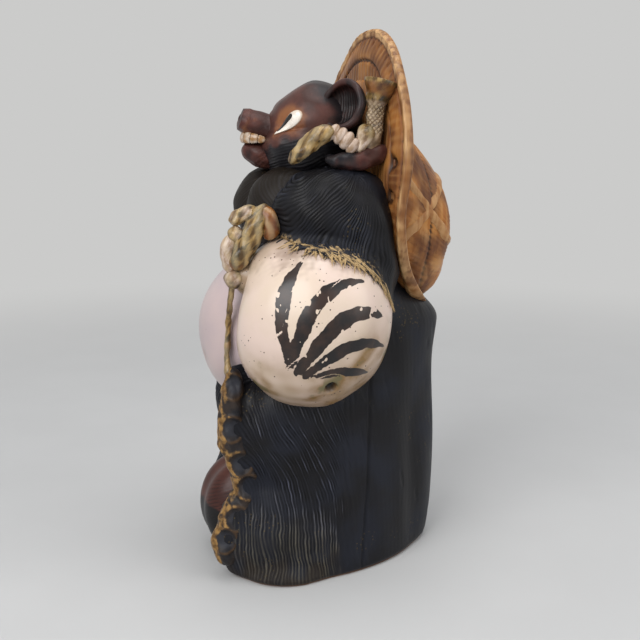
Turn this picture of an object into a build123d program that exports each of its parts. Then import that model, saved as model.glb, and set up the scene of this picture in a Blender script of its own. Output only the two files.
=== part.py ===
from build123d import *

import os
from collections import namedtuple
from math import cos, pi, radians, sin, sqrt

# A stoneware tanuki figure, modelled the way a potter builds it up: two press-moulded body shells,
# a hollow head, a straw hat slung on the back, a sake flask under the left arm, and hand-modelled
# clay pieces luted on. Millimetres, +Z up. The figure faces -Y and its own left side is +X.
# The origin is on the floor, on the body's centre line.

# Clay walls and firing
WALL = 8.0
VENT_RADIUS = 2.8
BEYOND = 400.0

# Body, as egg-shaped levels: widest line, half width there, reach to the front and to the back
Level = namedtuple("Level", "height widest_y half_width front back")
BASE = Level(0.0, -33.0, 74.0, 41.0, 111.0)
HIP = Level(58.0, -29.0, 75.0, 43.0, 107.0)
WAIST = Level(118.0, -22.0, 70.0, 44.0, 104.0)
RIB = Level(170.0, -15.0, 66.0, 45.0, 106.0)
BLADE = Level(205.0, -11.0, 65.0, 45.0, 70.0)
COLLAR = Level(252.0, -8.0, 56.0, 37.0, 37.0)
NECK = Level(283.0, -6.0, 33.0, 26.0, 29.0)
LEVELS = [BASE, HIP, WAIST, RIB, BLADE, COLLAR, NECK]
BODY_SECTIONS = 14
SEAM_Y = 6.0

# Belly, chest and pouch, each standing proud of the body's front by its rise
BELLY_HEIGHT = 166.0
BELLY_HALF_WIDTH = 54.0
BELLY_HALF_DEPTH = 46.0
BELLY_HALF_HEIGHT = 56.0
BELLY_RISE = 29.0
CHEST_HEIGHT = 255.0
CHEST_HALF_WIDTH = 46.0
CHEST_HALF_DEPTH = 36.0
CHEST_HALF_HEIGHT = 31.0
CHEST_RISE = 16.0
POUCH_HEIGHT = 35.0
POUCH_HALF_WIDTH = 30.0
POUCH_HALF_DEPTH = 32.0
POUCH_HALF_HEIGHT = 37.0
POUCH_RISE = 21.0

# Legs and coat flaps, and on each side how far out they sit and how far they stand proud
LEG_HEIGHT = 29.0
LEG_HALF_WIDTH = 33.0
LEG_HALF_DEPTH = 44.0
LEG_HALF_HEIGHT = 47.0
FLAP_HEIGHT = 106.0
FLAP_HALF_WIDTH = 32.0
FLAP_HALF_DEPTH = 40.0
FLAP_HALF_HEIGHT = 46.0
Side = namedtuple("Side", "sign leg_offset leg_rise flap_offset flap_rise border_x")
LEFT = Side(1, 41.0, 16.0, 42.0, 14.0, 37.0)
RIGHT = Side(-1, 45.0, 4.0, 46.0, 4.0, 68.0)

# Coat border: thumb-pinched lumps down the front edge of each leg and flap
BORDER_LUMPS = 8
BORDER_BOTTOM = 13.0
BORDER_TOP = 130.0
BORDER_RADIUS = 11.0
BORDER_SINK = 4.0

# Tail, a broad relief on the back
TAIL_HEIGHT = 66.0
TAIL_HALF_WIDTH = 36.0
TAIL_HALF_DEPTH = 24.0
TAIL_HALF_HEIGHT = 84.0
TAIL_RISE = 8.0

# Arms
ARM_HEIGHT = 250.0
ARM_Y = -5.0
ARM_HALF_WIDTH = 35.0
ARM_HALF_DEPTH = 44.0
ARM_HALF_HEIGHT = 35.0
ARM_RISE = 24.0
SHOULDER_HEIGHT = 222.0
SHOULDER_Y = 10.0
SHOULDER_HALF_WIDTH = 33.0
SHOULDER_HALF_DEPTH = 30.0
SHOULDER_HALF_HEIGHT = 50.0
FOREARM_RADIUS = 17.0
PAW_RADIUS = 15.0
PAW_SWELL = 1.1
PAW_HEIGHT = 188.0
PAW_OFFSET = 50.0
ELBOW_OUT = 9.0
ELBOW_AHEAD = 14.5
ELBOW_DROP = 17.5

# Sake flask
FLASK_HEIGHT = 180.0
FLASK_Y = -24.0
FLASK_HALF_WIDTH = 46.0
FLASK_HALF_DEPTH = 52.0
FLASK_HALF_HEIGHT = 57.0
FLASK_TILT = 25.0
FLASK_RISE = 42.0
FLASK_VENT_DROP = 36.0
FLASK_LOBE_RADIUS = 24.0
FLASK_LOBE_INSET = 12.0
FLASK_LOBE_AHEAD = 17.0
FLASK_LOBE_RISE = 33.0
FLASK_NECK_RADIUS = 12.0
FLASK_NECK_LENGTH = 22.0
FLASK_NECK_LEAN = 52.0
FLASK_NECK_SPLAY = 0.5

# Straw-rope bow on the flask's neck: roll stations from the neck's root, as x, y, z and radius
BOW_MAIN = [(0, 14, 50, 5.0), (1, 8, 46, 7.5), (4, -5, 32, 8.5), (4, -15, 15, 8.0), (3, -18, 7, 5.0)]
BOW_FRONT = [(-4, 0, 48, 4.0), (-5, -8, 43, 6.5), (-4, -12, 33, 6.5), (-5, -18, 18, 6.5), (-2, -18, 8, 4.5)]
KNOT_RADIUS = 8.5
KNOT_RISE = 5.0
KNOT_REACH = 18.0
CORD_TAIL_RADIUS = 3.2
CORD_TAIL_LENGTH = 70.0
CORD_TAIL_REACH = 22.0

# Head
HEAD_RISE = 27.0
HEAD_Y = -4.0
HEAD_HALF_WIDTH = 41.0
HEAD_HALF_LENGTH = 35.0
HEAD_HALF_HEIGHT = 33.0
HEAD_TILT = 18.0
HEAD_TURN = 10.0
JOWL_HALF_WIDTH = 43.0
JOWL_HALF_LENGTH = 34.0
JOWL_HALF_HEIGHT = 22.0
JOWL_DROP = 21.0
NECK_BORE = 14.0
MUZZLE_LENGTH = 17.0
MUZZLE_HALF_WIDTH = 14.0
MUZZLE_HALF_HEIGHT = 10.5
MUZZLE_DROP = 12.5
MUZZLE_FLARE = 1.3
MUZZLE_EDGE = 4.0
JAW_HALF_WIDTH = 15.0
JAW_HALF_LENGTH = 17.0
JAW_HALF_HEIGHT = 9.0
JAW_SETBACK = 5.5
NOSE_HALF_WIDTH = 8.0
NOSE_HALF_HEIGHT = 5.0
NOSE_RISE = 2.0
TEETH = 9
TOOTH_HALF_WIDTH = 2.3
TOOTH_HALF_LENGTH = 6.5
EYE_HALF_LENGTH = 10.5
EYE_HALF_WIDTH = 6.5
EYE_RISE = 1.8
EYE_TURN = 50.0
EYE_DROP = 9.0
EYE_SLANT = 55.0
EAR_RADIUS = 18.0
EAR_WALL = 4.5
EAR_DEPTH = 15.0
EAR_HEIGHT = 17.0
EAR_Y = 6.0
EAR_STAND = 10.0
EAR_FACING = 50.0

# Hat
HAT_HALF_WIDTH = 87.0
HAT_HALF_HEIGHT = 99.5
HAT_RISE = -3.5
HAT_PLATE = 9.0
HAT_FRONT_Y = 24.0
HAT_BEND_RADIUS = 95.0
HAT_BEND_DROP = 20.0
HAT_LEAN = 8.0
CROWN_RADIUS = 72.0
CROWN_TOP_RADIUS = 44.0
CROWN_DEPTH = 54.0
CROWN_DROP = 5.0
CROWN_SAG = 41.0
CROWN_TILT = 3.0
CROWN_EDGE = 20.0
LASHING_WIDTH = 9.0
LASHING_PROUD = 2.2
LASHING_ANGLE = 45.0

# Hat cord over the shoulders, from the arm's top: a leaf, three turns, a band to the brim, a tassel
CORD_X = 6.0
CORD_LIFT = 17.0
LEAF = [(-2, -33, -26, 5.0), (-2, -28, -15, 7.5), (-1, -17, -3, 9.0), (0, -6, 3, 8.0), (1, 1, 2, 6.5)]
TURNS = 3
TURN_START = 3.0
TURN_RADIUS = 8.0
TURN_PITCH = 7.0
TURN_FALL = 1.6
TURN_SPLAY = 1.0
BAND_RADIUS = 6.5
BAND_DROP = 14.0
BAND_TAPER = 0.8
BAND_START_X = 3.0
BAND_MID_X = 6.0
BAND_END_X = 11.0
STEM_RADIUS = 6.5
STEM_LENGTH = 22.0
STEM_X = 5.0
STEM_SPLAY = 1.0
FLARE_RADIUS = 13.0
FLARE_LENGTH = 17.0
FLARE_LIP = 3.0
BORE_PAST = 1.0


def ellipsoid(centre, half_width, half_depth, half_height):
    """A rounded lump with its poles at the top and the bottom."""
    return Pos(*centre) * scale(Sphere(1.0), (half_width, half_depth, half_height))


def side_lump(centre, half_width, half_depth, half_height):
    """The same lump with its poles out to the left and right, for a piece stuck on a flank."""
    ball = scale(Sphere(1.0), (half_height, half_depth, half_width))
    return Pos(*centre) * Rot(0, 90, 0) * ball


def front_lump(centre, half_width, half_depth, half_height):
    """The same lump with its poles at the front and back, for a piece stuck on the front or back."""
    ball = scale(Sphere(1.0), (half_width, half_height, half_depth))
    return Pos(*centre) * Rot(90, 0, 0) * ball


def tube(stations):
    """A roll of clay through stations of x, y, z and radius."""
    points = [Vector(x, y, z) for x, y, z, radius in stations]
    sections = []
    for i, (x, y, z, radius) in enumerate(stations):
        ahead = points[min(i + 1, len(points) - 1)]
        behind = points[max(i - 1, 0)]
        sections.append(Plane(points[i], z_dir=ahead - behind) * Circle(radius))
    return loft(sections)


def level_slopes(values):
    """Slopes at the levels that keep a smooth curve through them free of overshoot."""
    spans = list(zip(LEVELS, LEVELS[1:]))
    rises = [(b - a) / (high.height - low.height) for (low, high), a, b in zip(spans, values, values[1:])]
    inner = [2 * p * q / (p + q) if p * q > 0 else 0.0 for p, q in zip(rises, rises[1:])]
    return [rises[0]] + inner + [rises[-1]]


def level_at(height):
    """The body's level at a height, on smooth curves through the listed levels."""
    i = 0
    while i < len(LEVELS) - 2 and height > LEVELS[i + 1].height:
        i += 1
    span = LEVELS[i + 1].height - LEVELS[i].height
    t = (height - LEVELS[i].height) / span
    sizes = []
    for values in list(zip(*LEVELS))[1:]:
        slopes = level_slopes(values)
        sizes.append(
            values[i] * (1 + 2 * t) * (1 - t) ** 2
            + slopes[i] * span * t * (1 - t) ** 2
            + values[i + 1] * t**2 * (3 - 2 * t)
            + slopes[i + 1] * span * t**2 * (t - 1)
        )
    return Level(height, *sizes)


def front_y(height):
    level = level_at(height)
    return level.widest_y - level.front


def back_y(height):
    level = level_at(height)
    return level.widest_y + level.back


def level_face(level, inset):
    across = level.half_width - inset
    front = EllipticalCenterArc((0, level.widest_y), across, level.front - inset, 180, arc_size=180)
    rear = EllipticalCenterArc((0, level.widest_y), across, level.back - inset, 0, arc_size=180)
    return Pos(0, 0, level.height) * make_face([front, rear])


def main_solid(shape):
    """The largest solid that a cut leaves."""
    return max(shape.solids(), key=lambda solid: solid.volume)


def luted(shape, *neighbours):
    """A clay piece trimmed to sit face to face on its neighbours."""
    for neighbour in neighbours:
        shape = shape - neighbour
    return main_solid(shape)


def above_floor(shape):
    return shape & Pos(0, 0, BEYOND / 2) * Box(2 * BEYOND, 2 * BEYOND, BEYOND)


def mirrored(shape):
    return mirror(shape, about=Plane.YZ)


# Body shells, with a window behind the belly
body_step = (NECK.height - BASE.height) / (BODY_SECTIONS - 1)
body_levels = [level_at(BASE.height + i * body_step) for i in range(BODY_SECTIONS)]
body_outer = loft([level_face(level, 0.0) for level in body_levels])
body_inner = loft([level_face(level, WALL) for level in body_levels])
belly_centre = (0, front_y(BELLY_HEIGHT) - BELLY_RISE + BELLY_HALF_DEPTH, BELLY_HEIGHT)
belly_outer = front_lump(belly_centre, BELLY_HALF_WIDTH, BELLY_HALF_DEPTH, BELLY_HALF_HEIGHT)
belly_inner = front_lump(
    belly_centre, BELLY_HALF_WIDTH - 2 * WALL, BELLY_HALF_DEPTH - WALL, BELLY_HALF_HEIGHT - 2 * WALL
)
body_shell = body_outer - body_inner - belly_inner
ahead_of_seam = Pos(0, SEAM_Y - BEYOND / 2, BEYOND / 2) * Box(BEYOND, BEYOND, 2 * BEYOND)
body_front_shell = main_solid(body_shell & ahead_of_seam)
body_rear_shell = main_solid(body_shell - ahead_of_seam)

# Flask body, leaning forward at its foot, with its kiln vent
flask_x = level_at(FLASK_HEIGHT).half_width + FLASK_RISE - FLASK_HALF_WIDTH
flask_centre = (flask_x, FLASK_Y, FLASK_HEIGHT)


def flask_form(inset):
    sizes = (FLASK_HALF_WIDTH - inset, FLASK_HALF_DEPTH - inset, FLASK_HALF_HEIGHT - inset)
    return Pos(*flask_centre) * Rot(-FLASK_TILT, 0, 0) * side_lump((0, 0, 0), *sizes)


flask_outer = flask_form(0)
vent = (
    Pos(flask_x + BEYOND / 2, FLASK_Y, FLASK_HEIGHT - FLASK_VENT_DROP)
    * Rot(0, 90, 0)
    * Cylinder(VENT_RADIUS, BEYOND)
)
flask_body = luted(flask_outer - flask_form(WALL) - vent, body_outer)


# Legs and coat flaps, with the border lumps down their front edges
def leg_y(side):
    return front_y(LEG_HEIGHT) - side.leg_rise + LEG_HALF_DEPTH


def flap_y(side):
    return front_y(FLAP_HEIGHT) - side.flap_rise + FLAP_HALF_DEPTH


def leg_form(side):
    centre = (side.sign * side.leg_offset, leg_y(side), LEG_HEIGHT)
    return front_lump(centre, LEG_HALF_WIDTH, LEG_HALF_DEPTH, LEG_HALF_HEIGHT)


def flap_form(side):
    centre = (side.sign * side.flap_offset, flap_y(side), FLAP_HEIGHT)
    return front_lump(centre, FLAP_HALF_WIDTH, FLAP_HALF_DEPTH, FLAP_HALF_HEIGHT)


def coat_front(side, x, height):
    """The foremost y of the body, the leg and the flap at a place on the coat's front."""
    level = level_at(height)
    body_share = 1 - (x / level.half_width) ** 2
    leg_x = (x - side.leg_offset) / LEG_HALF_WIDTH
    leg_z = (height - LEG_HEIGHT) / LEG_HALF_HEIGHT
    flap_x = (x - side.flap_offset) / FLAP_HALF_WIDTH
    flap_z = (height - FLAP_HEIGHT) / FLAP_HALF_HEIGHT
    on_body = level.widest_y - level.front * sqrt(max(body_share, 0))
    on_leg = leg_y(side) - LEG_HALF_DEPTH * sqrt(max(1 - leg_x**2 - leg_z**2, 0))
    on_flap = flap_y(side) - FLAP_HALF_DEPTH * sqrt(max(1 - flap_x**2 - flap_z**2, 0))
    return min(on_body, on_leg, on_flap)


def border_form(side):
    step = (BORDER_TOP - BORDER_BOTTOM) / (BORDER_LUMPS - 1)
    row = []
    for i in range(BORDER_LUMPS):
        height = BORDER_BOTTOM + i * step
        y = coat_front(side, side.border_x, height) + BORDER_SINK
        row.append(Pos(side.sign * side.border_x, y, height) * Sphere(BORDER_RADIUS))
    return row[0].fuse(*row[1:])


leg_outer = {side: leg_form(side) for side in (LEFT, RIGHT)}
flap_outer = {side: flap_form(side) for side in (LEFT, RIGHT)}
border_outer = {side: border_form(side) for side in (LEFT, RIGHT)}
legs = {side: luted(above_floor(leg_outer[side]), body_outer) for side in (LEFT, RIGHT)}
flaps = {side: luted(flap_outer[side], body_outer, leg_outer[side], flask_outer) for side in (LEFT, RIGHT)}
borders = {
    side: luted(border_outer[side], body_outer, leg_outer[side], flap_outer[side], flask_outer)
    for side in (LEFT, RIGHT)
}

# Belly and pouch, which sit between the coat's edges
belly_dome = luted(
    belly_outer - belly_inner,
    body_outer,
    flask_outer,
    *flap_outer.values(),
    *border_outer.values(),
)
pouch_y = front_y(POUCH_HEIGHT) - POUCH_RISE + POUCH_HALF_DEPTH
pouch_outer = front_lump(
    (0, pouch_y, POUCH_HEIGHT), POUCH_HALF_WIDTH, POUCH_HALF_DEPTH, POUCH_HALF_HEIGHT
)
money_pouch = luted(
    above_floor(pouch_outer), body_outer, *leg_outer.values(), *border_outer.values(), *flap_outer.values()
)

# Tail
tail_y = back_y(TAIL_HEIGHT) + TAIL_RISE - TAIL_HALF_DEPTH
tail = luted(
    above_floor(front_lump((0, tail_y, TAIL_HEIGHT), TAIL_HALF_WIDTH, TAIL_HALF_DEPTH, TAIL_HALF_HEIGHT)),
    body_outer,
)

# Hat: a plate bent back over the shoulders, and a hollow crown behind it
hat_z = NECK.height + HAT_RISE
hat_bend_z = hat_z - HAT_BEND_DROP


def hat_plate():
    """The brim's side profile, straight above the bend and an arc below it, cut to a round rim."""
    back = HAT_FRONT_Y + HAT_PLATE
    top = hat_z + HAT_HALF_HEIGHT + HAT_PLATE
    pivot_y = HAT_FRONT_Y + HAT_BEND_RADIUS
    outline = [
        Line((HAT_FRONT_Y + HAT_LEAN, top), (HAT_FRONT_Y, hat_bend_z)),
        CenterArc((pivot_y, hat_bend_z), HAT_BEND_RADIUS, 180, 90),
        Line((pivot_y, hat_bend_z - HAT_BEND_RADIUS), (pivot_y, hat_bend_z - HAT_BEND_RADIUS + HAT_PLATE)),
        CenterArc((pivot_y, hat_bend_z), HAT_BEND_RADIUS - HAT_PLATE, 180, 90),
        Line((back, hat_bend_z), (back + HAT_LEAN, top)),
        Line((back + HAT_LEAN, top), (HAT_FRONT_Y + HAT_LEAN, top)),
    ]
    sheet = extrude(Plane.YZ * make_face(outline), amount=2 * HAT_HALF_WIDTH, both=True)
    across = Plane((0, BEYOND, hat_z), x_dir=(1, 0, 0), z_dir=(0, -1, 0))
    rim = extrude(across * Ellipse(HAT_HALF_WIDTH, HAT_HALF_HEIGHT), amount=2 * BEYOND)
    return sheet & rim


plate = hat_plate()
hat_brim = luted(plate, body_outer)


def crown_form(proud, wall):
    """The crown as a leaning cone from the brim's back to its top, grown or shrunk by the two values."""
    low_y = HAT_FRONT_Y + HAT_PLATE / 2
    low = Plane((0, low_y, hat_z - CROWN_DROP), x_dir=(1, 0, 0), z_dir=(0, 1, 0))
    lean = radians(CROWN_TILT)
    top_z_dir = (0, cos(lean), sin(lean))
    top_y = HAT_FRONT_Y + HAT_PLATE + CROWN_DEPTH + proud - wall
    top = Plane((0, top_y, hat_z - CROWN_DROP - CROWN_SAG), x_dir=(1, 0, 0), z_dir=top_z_dir)
    form = loft([low * Circle(CROWN_RADIUS + proud - wall), top * Circle(CROWN_TOP_RADIUS + proud - wall)])
    return fillet(form.edges().group_by(Axis.Y)[-1], CROWN_EDGE - wall / 2)


crown_outer = crown_form(0, 0)
hat_crown = luted(crown_outer - crown_form(0, WALL), plate, body_outer)
lashing_centre = (0, HAT_FRONT_Y + HAT_PLATE + CROWN_DEPTH / 2, hat_z - CROWN_DROP - CROWN_SAG / 2)
straps = [
    Pos(*lashing_centre) * Rot(angle, 0, 0) * Box(BEYOND, LASHING_WIDTH, BEYOND)
    for angle in (LASHING_ANGLE, -LASHING_ANGLE)
]
crown_lashing = luted(
    crown_form(LASHING_PROUD, 0) & (straps[0] + straps[1]), crown_outer, plate, body_outer
)

# Head, in its own tilted and turned frame: the face looks along the frame's -Y
head_centre = (0, HEAD_Y, NECK.height + HEAD_RISE)
head_frame = Pos(*head_centre) * Rot(0, 0, -HEAD_TURN) * Rot(-HEAD_TILT, 0, 0)
skull = head_frame * ellipsoid((0, 0, 0), HEAD_HALF_WIDTH, HEAD_HALF_LENGTH, HEAD_HALF_HEIGHT)
jowl = head_frame * ellipsoid((0, 0, -JOWL_DROP), JOWL_HALF_WIDTH, JOWL_HALF_LENGTH, JOWL_HALF_HEIGHT)
head_outer = skull + jowl
head_cavity = head_frame * ellipsoid(
    (0, 0, 0), HEAD_HALF_WIDTH - WALL, HEAD_HALF_LENGTH - WALL, HEAD_HALF_HEIGHT - WALL
)
neck_bore = Pos(0, NECK.widest_y, head_centre[2] - BEYOND / 2) * Cylinder(NECK_BORE, BEYOND)
head_shell = luted(head_outer - head_cavity - neck_bore, body_outer, plate)

# Muzzle, jaw, nose and teeth
muzzle_root_y = -HEAD_HALF_LENGTH / 2
muzzle_tip_y = -HEAD_HALF_LENGTH - MUZZLE_LENGTH


def muzzle_section(y, grow):
    plane = Plane((0, y, -MUZZLE_DROP), x_dir=(1, 0, 0), z_dir=(0, -1, 0))
    return plane * Ellipse(MUZZLE_HALF_WIDTH * grow, MUZZLE_HALF_HEIGHT * grow)


muzzle_form = loft([muzzle_section(muzzle_root_y, MUZZLE_FLARE), muzzle_section(muzzle_tip_y, 1.0)])
muzzle_form = head_frame * fillet(muzzle_form.edges().group_by(Axis.Y)[0], MUZZLE_EDGE)
muzzle = luted(muzzle_form, head_outer)
mouth_z = -MUZZLE_DROP - MUZZLE_HALF_HEIGHT
jaw_form = head_frame * ellipsoid(
    (0, -HEAD_HALF_LENGTH + JAW_SETBACK, mouth_z - JAW_HALF_HEIGHT),
    JAW_HALF_WIDTH,
    JAW_HALF_LENGTH,
    JAW_HALF_HEIGHT,
)
lower_jaw = luted(jaw_form, head_outer, muzzle_form, body_outer)
nose_form = head_frame * ellipsoid(
    (0, muzzle_tip_y + NOSE_RISE, -MUZZLE_DROP + NOSE_HALF_HEIGHT / 2),
    NOSE_HALF_WIDTH,
    2 * NOSE_RISE,
    NOSE_HALF_HEIGHT,
)
nose_tip = luted(nose_form, muzzle_form)


def tooth(turn):
    """One tooth on the U-shaped row under the muzzle's edge."""
    reach = MUZZLE_HALF_WIDTH - TOOTH_HALF_WIDTH
    x = reach * sin(turn)
    y = muzzle_tip_y + TOOTH_HALF_WIDTH + reach * (1 - cos(turn))
    form = head_frame * ellipsoid((x, y, mouth_z), TOOTH_HALF_WIDTH, TOOTH_HALF_WIDTH, TOOTH_HALF_LENGTH)
    return luted(form, muzzle_form, head_outer, jaw_form)


upper_teeth = Compound([tooth(pi * (i / (TEETH - 1) - 0.5)) for i in range(TEETH)])


# Eyes and ears, set on the skull's surface
def eye(side):
    turn = radians(EYE_TURN) * side
    drop = radians(EYE_DROP)
    seat = Vector(
        HEAD_HALF_WIDTH * sin(turn) * cos(drop),
        -HEAD_HALF_LENGTH * cos(turn) * cos(drop),
        -HEAD_HALF_HEIGHT * sin(drop),
    )
    outward = Vector(
        seat.X / HEAD_HALF_WIDTH**2, seat.Y / HEAD_HALF_LENGTH**2, seat.Z / HEAD_HALF_HEIGHT**2
    ).normalized()
    backward = Vector(0, 0, 1).cross(outward).normalized() * side
    upward = outward.cross(backward).normalized() * side
    slant = radians(EYE_SLANT)
    along = backward * cos(slant) + upward * sin(slant)
    plane = Plane(seat - outward * EYE_RISE, x_dir=along, z_dir=outward)
    form = plane * scale(Sphere(1.0), (EYE_HALF_LENGTH, EYE_HALF_WIDTH, 2 * EYE_RISE))
    return luted(head_frame * form, head_outer)


def ear(side):
    seat_x = HEAD_HALF_WIDTH * sqrt(1 - (EAR_HEIGHT / HEAD_HALF_HEIGHT) ** 2)
    facing = radians(EAR_FACING) * side
    centre = ((seat_x + EAR_STAND) * side, EAR_Y, EAR_HEIGHT)
    plane = Plane(centre, x_dir=(0, 0, 1), z_dir=(sin(facing), -cos(facing), 0))
    cup = scale(Sphere(1.0), (EAR_RADIUS, EAR_RADIUS, EAR_DEPTH))
    hollow = scale(Sphere(1.0), (EAR_RADIUS - EAR_WALL, EAR_RADIUS - EAR_WALL, EAR_DEPTH - EAR_WALL))
    behind_rim = Pos(0, 0, -BEYOND / 2) * Box(BEYOND, BEYOND, BEYOND)
    form = plane * ((cup & behind_rim) - hollow)
    return luted(head_frame * form, head_outer, plate)


left_eye = eye(1)
right_eye = eye(-1)
left_ear = ear(1)
right_ear = ear(-1)

# Chest and arms
chest_y = front_y(CHEST_HEIGHT) - CHEST_RISE + CHEST_HALF_DEPTH
chest_outer = front_lump(
    (0, chest_y, CHEST_HEIGHT), CHEST_HALF_WIDTH, CHEST_HALF_DEPTH, CHEST_HALF_HEIGHT
)
chest_ruff = luted(chest_outer, body_outer, head_outer, jaw_form, belly_outer, flask_outer)
arm_x = level_at(ARM_HEIGHT).half_width + ARM_RISE - ARM_HALF_WIDTH
shoulder = side_lump(
    (arm_x, SHOULDER_Y, SHOULDER_HEIGHT), SHOULDER_HALF_WIDTH, SHOULDER_HALF_DEPTH, SHOULDER_HALF_HEIGHT
)
arm_outer = side_lump((arm_x, ARM_Y, ARM_HEIGHT), ARM_HALF_WIDTH, ARM_HALF_DEPTH, ARM_HALF_HEIGHT) + shoulder
left_arm = luted(arm_outer, body_outer, plate, head_outer, chest_outer, flask_outer)
right_upper = mirrored(arm_outer)
paw_share = 1 - (PAW_OFFSET / BELLY_HALF_WIDTH) ** 2 - ((PAW_HEIGHT - BELLY_HEIGHT) / BELLY_HALF_HEIGHT) ** 2
paw_y = belly_centre[1] - BELLY_HALF_DEPTH * sqrt(max(paw_share, 0))
elbow = (-arm_x - ELBOW_OUT, ARM_Y - ELBOW_AHEAD, ARM_HEIGHT - ELBOW_DROP)
paw_seat = (-PAW_OFFSET, paw_y, PAW_HEIGHT)
paw = Pos(*paw_seat) * Sphere(PAW_RADIUS * PAW_SWELL)
forearm = tube([(*elbow, FOREARM_RADIUS), (*paw_seat, PAW_RADIUS)]) + paw
right_arm = luted(
    right_upper + forearm, body_outer, plate, head_outer, chest_outer, belly_outer
)

# Flask neck and its straw-rope bow
lean = radians(FLASK_NECK_LEAN)
neck_dir = Vector(-sin(lean) * FLASK_NECK_SPLAY, -sin(lean), cos(lean)).normalized()
neck_root = Vector(*flask_centre) + neck_dir * (FLASK_HALF_DEPTH - WALL)
neck_stem = Plane(neck_root, z_dir=neck_dir) * Cylinder(
    FLASK_NECK_RADIUS, FLASK_NECK_LENGTH, align=(Align.CENTER, Align.CENTER, Align.MIN)
)
lobe_seat = Vector(*flask_centre) + Vector(-FLASK_LOBE_INSET, -FLASK_LOBE_AHEAD, FLASK_LOBE_RISE)
neck_form = neck_stem + Pos(lobe_seat) * Sphere(FLASK_LOBE_RADIUS)
bow_frame = Pos(neck_root)
bow_main_form = bow_frame * tube(BOW_MAIN)
bow_front_form = bow_frame * tube(BOW_FRONT)
knot_seat = neck_root + Vector(0, -KNOT_REACH, KNOT_RISE)
knot_form = Pos(knot_seat) * Sphere(KNOT_RADIUS)
tail_low = (0, -CORD_TAIL_REACH, KNOT_RISE - CORD_TAIL_LENGTH)
tail_form = bow_frame * tube(
    [(0, -KNOT_REACH, KNOT_RISE, CORD_TAIL_RADIUS), (*tail_low, CORD_TAIL_RADIUS)]
)
tied_to = (body_outer, flask_outer, chest_outer, belly_outer, arm_outer, head_outer)
flask_bow_main = luted(bow_main_form, *tied_to)
flask_bow_front = luted(bow_front_form, *tied_to, bow_main_form)
flask_knot = luted(knot_form, *tied_to, bow_main_form, bow_front_form)
flask_neck = luted(neck_form, *tied_to, bow_main_form, bow_front_form, knot_form)
flask_cord_tail = luted(
    tail_form,
    *tied_to,
    knot_form,
    bow_main_form,
    bow_front_form,
    neck_form,
    flap_outer[LEFT],
    border_outer[LEFT],
)

# Hat cord on the left shoulder
cord_frame = Pos(arm_x + CORD_X, ARM_Y, ARM_HEIGHT + ARM_HALF_HEIGHT + CORD_LIFT)
leaf_form = cord_frame * tube(LEAF)
turn_forms = [
    cord_frame * Pos(i * TURN_SPLAY, TURN_START + i * TURN_PITCH, -i * TURN_FALL) * Sphere(TURN_RADIUS)
    for i in range(TURNS)
]
turns_form = turn_forms[0].fuse(*turn_forms[1:])
cord_end_y = TURN_START + (TURNS - 1) * TURN_PITCH
hat_y = HAT_FRONT_Y + HAT_PLATE / 2 - ARM_Y
band_form = cord_frame * tube(
    [
        (BAND_START_X, cord_end_y - TURN_RADIUS, -BAND_DROP, BAND_RADIUS * BAND_TAPER),
        (BAND_MID_X, cord_end_y, -BAND_DROP, BAND_RADIUS),
        (BAND_END_X, hat_y, -BAND_DROP, BAND_RADIUS),
    ]
)
stem_frame = cord_frame * Pos(STEM_X, cord_end_y + TURN_RADIUS, -BAND_DROP)
stem_top = BAND_DROP + STEM_LENGTH
flare_top = stem_top + FLARE_LENGTH
stem_form = tube(
    [
        (0, 0, 0, STEM_RADIUS),
        (STEM_SPLAY, 0, BAND_DROP, STEM_RADIUS),
        (2 * STEM_SPLAY, 0, stem_top, STEM_RADIUS),
    ]
)
flare_form = tube([(2 * STEM_SPLAY, 0, stem_top, STEM_RADIUS), (3 * STEM_SPLAY, 0, flare_top, FLARE_RADIUS)])
flare_bore = tube(
    [
        (2 * STEM_SPLAY, 0, stem_top + FLARE_LIP, STEM_RADIUS - FLARE_LIP),
        (3 * STEM_SPLAY, 0, flare_top + BORE_PAST, FLARE_RADIUS - FLARE_LIP),
    ]
)
tassel_form = stem_frame * (stem_form + flare_form - flare_bore)
under_cord = (body_outer, arm_outer, head_outer, chest_outer, plate)
cord_turns = luted(turns_form, *under_cord, left_ear)
cord_leaf = luted(leaf_form, *under_cord, turns_form, left_ear)
cord_band = luted(band_form, body_outer, arm_outer, head_outer, hat_brim, turns_form)
cord_tassel = luted(tassel_form, *under_cord, turns_form, band_form, left_ear)
cord_right = luted(
    mirrored(leaf_form).fuse(mirrored(turns_form), mirrored(band_form)),
    body_outer,
    right_upper,
    head_outer,
    chest_outer,
    hat_brim,
    right_ear,
)

nodes = {
    "body_front_shell": body_front_shell,
    "body_rear_shell": body_rear_shell,
    "belly_dome": belly_dome,
    "chest_ruff": chest_ruff,
    "left_leg": legs[LEFT],
    "right_leg": legs[RIGHT],
    "left_coat_flap": flaps[LEFT],
    "right_coat_flap": flaps[RIGHT],
    "left_coat_border": borders[LEFT],
    "right_coat_border": borders[RIGHT],
    "money_pouch": money_pouch,
    "tail": tail,
    "left_arm": left_arm,
    "right_arm": right_arm,
    "flask_body": flask_body,
    "flask_neck": flask_neck,
    "flask_bow_main": flask_bow_main,
    "flask_bow_front": flask_bow_front,
    "flask_knot": flask_knot,
    "flask_cord_tail": flask_cord_tail,
    "head_shell": head_shell,
    "muzzle": muzzle,
    "nose_tip": nose_tip,
    "lower_jaw": lower_jaw,
    "upper_teeth": upper_teeth,
    "left_eye": left_eye,
    "right_eye": right_eye,
    "left_ear": left_ear,
    "right_ear": right_ear,
    "hat_brim": hat_brim,
    "hat_crown": hat_crown,
    "crown_lashing": crown_lashing,
    "cord_leaf": cord_leaf,
    "cord_turns": cord_turns,
    "cord_band": cord_band,
    "cord_tassel": cord_tassel,
    "cord_right": cord_right,
}

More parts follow.
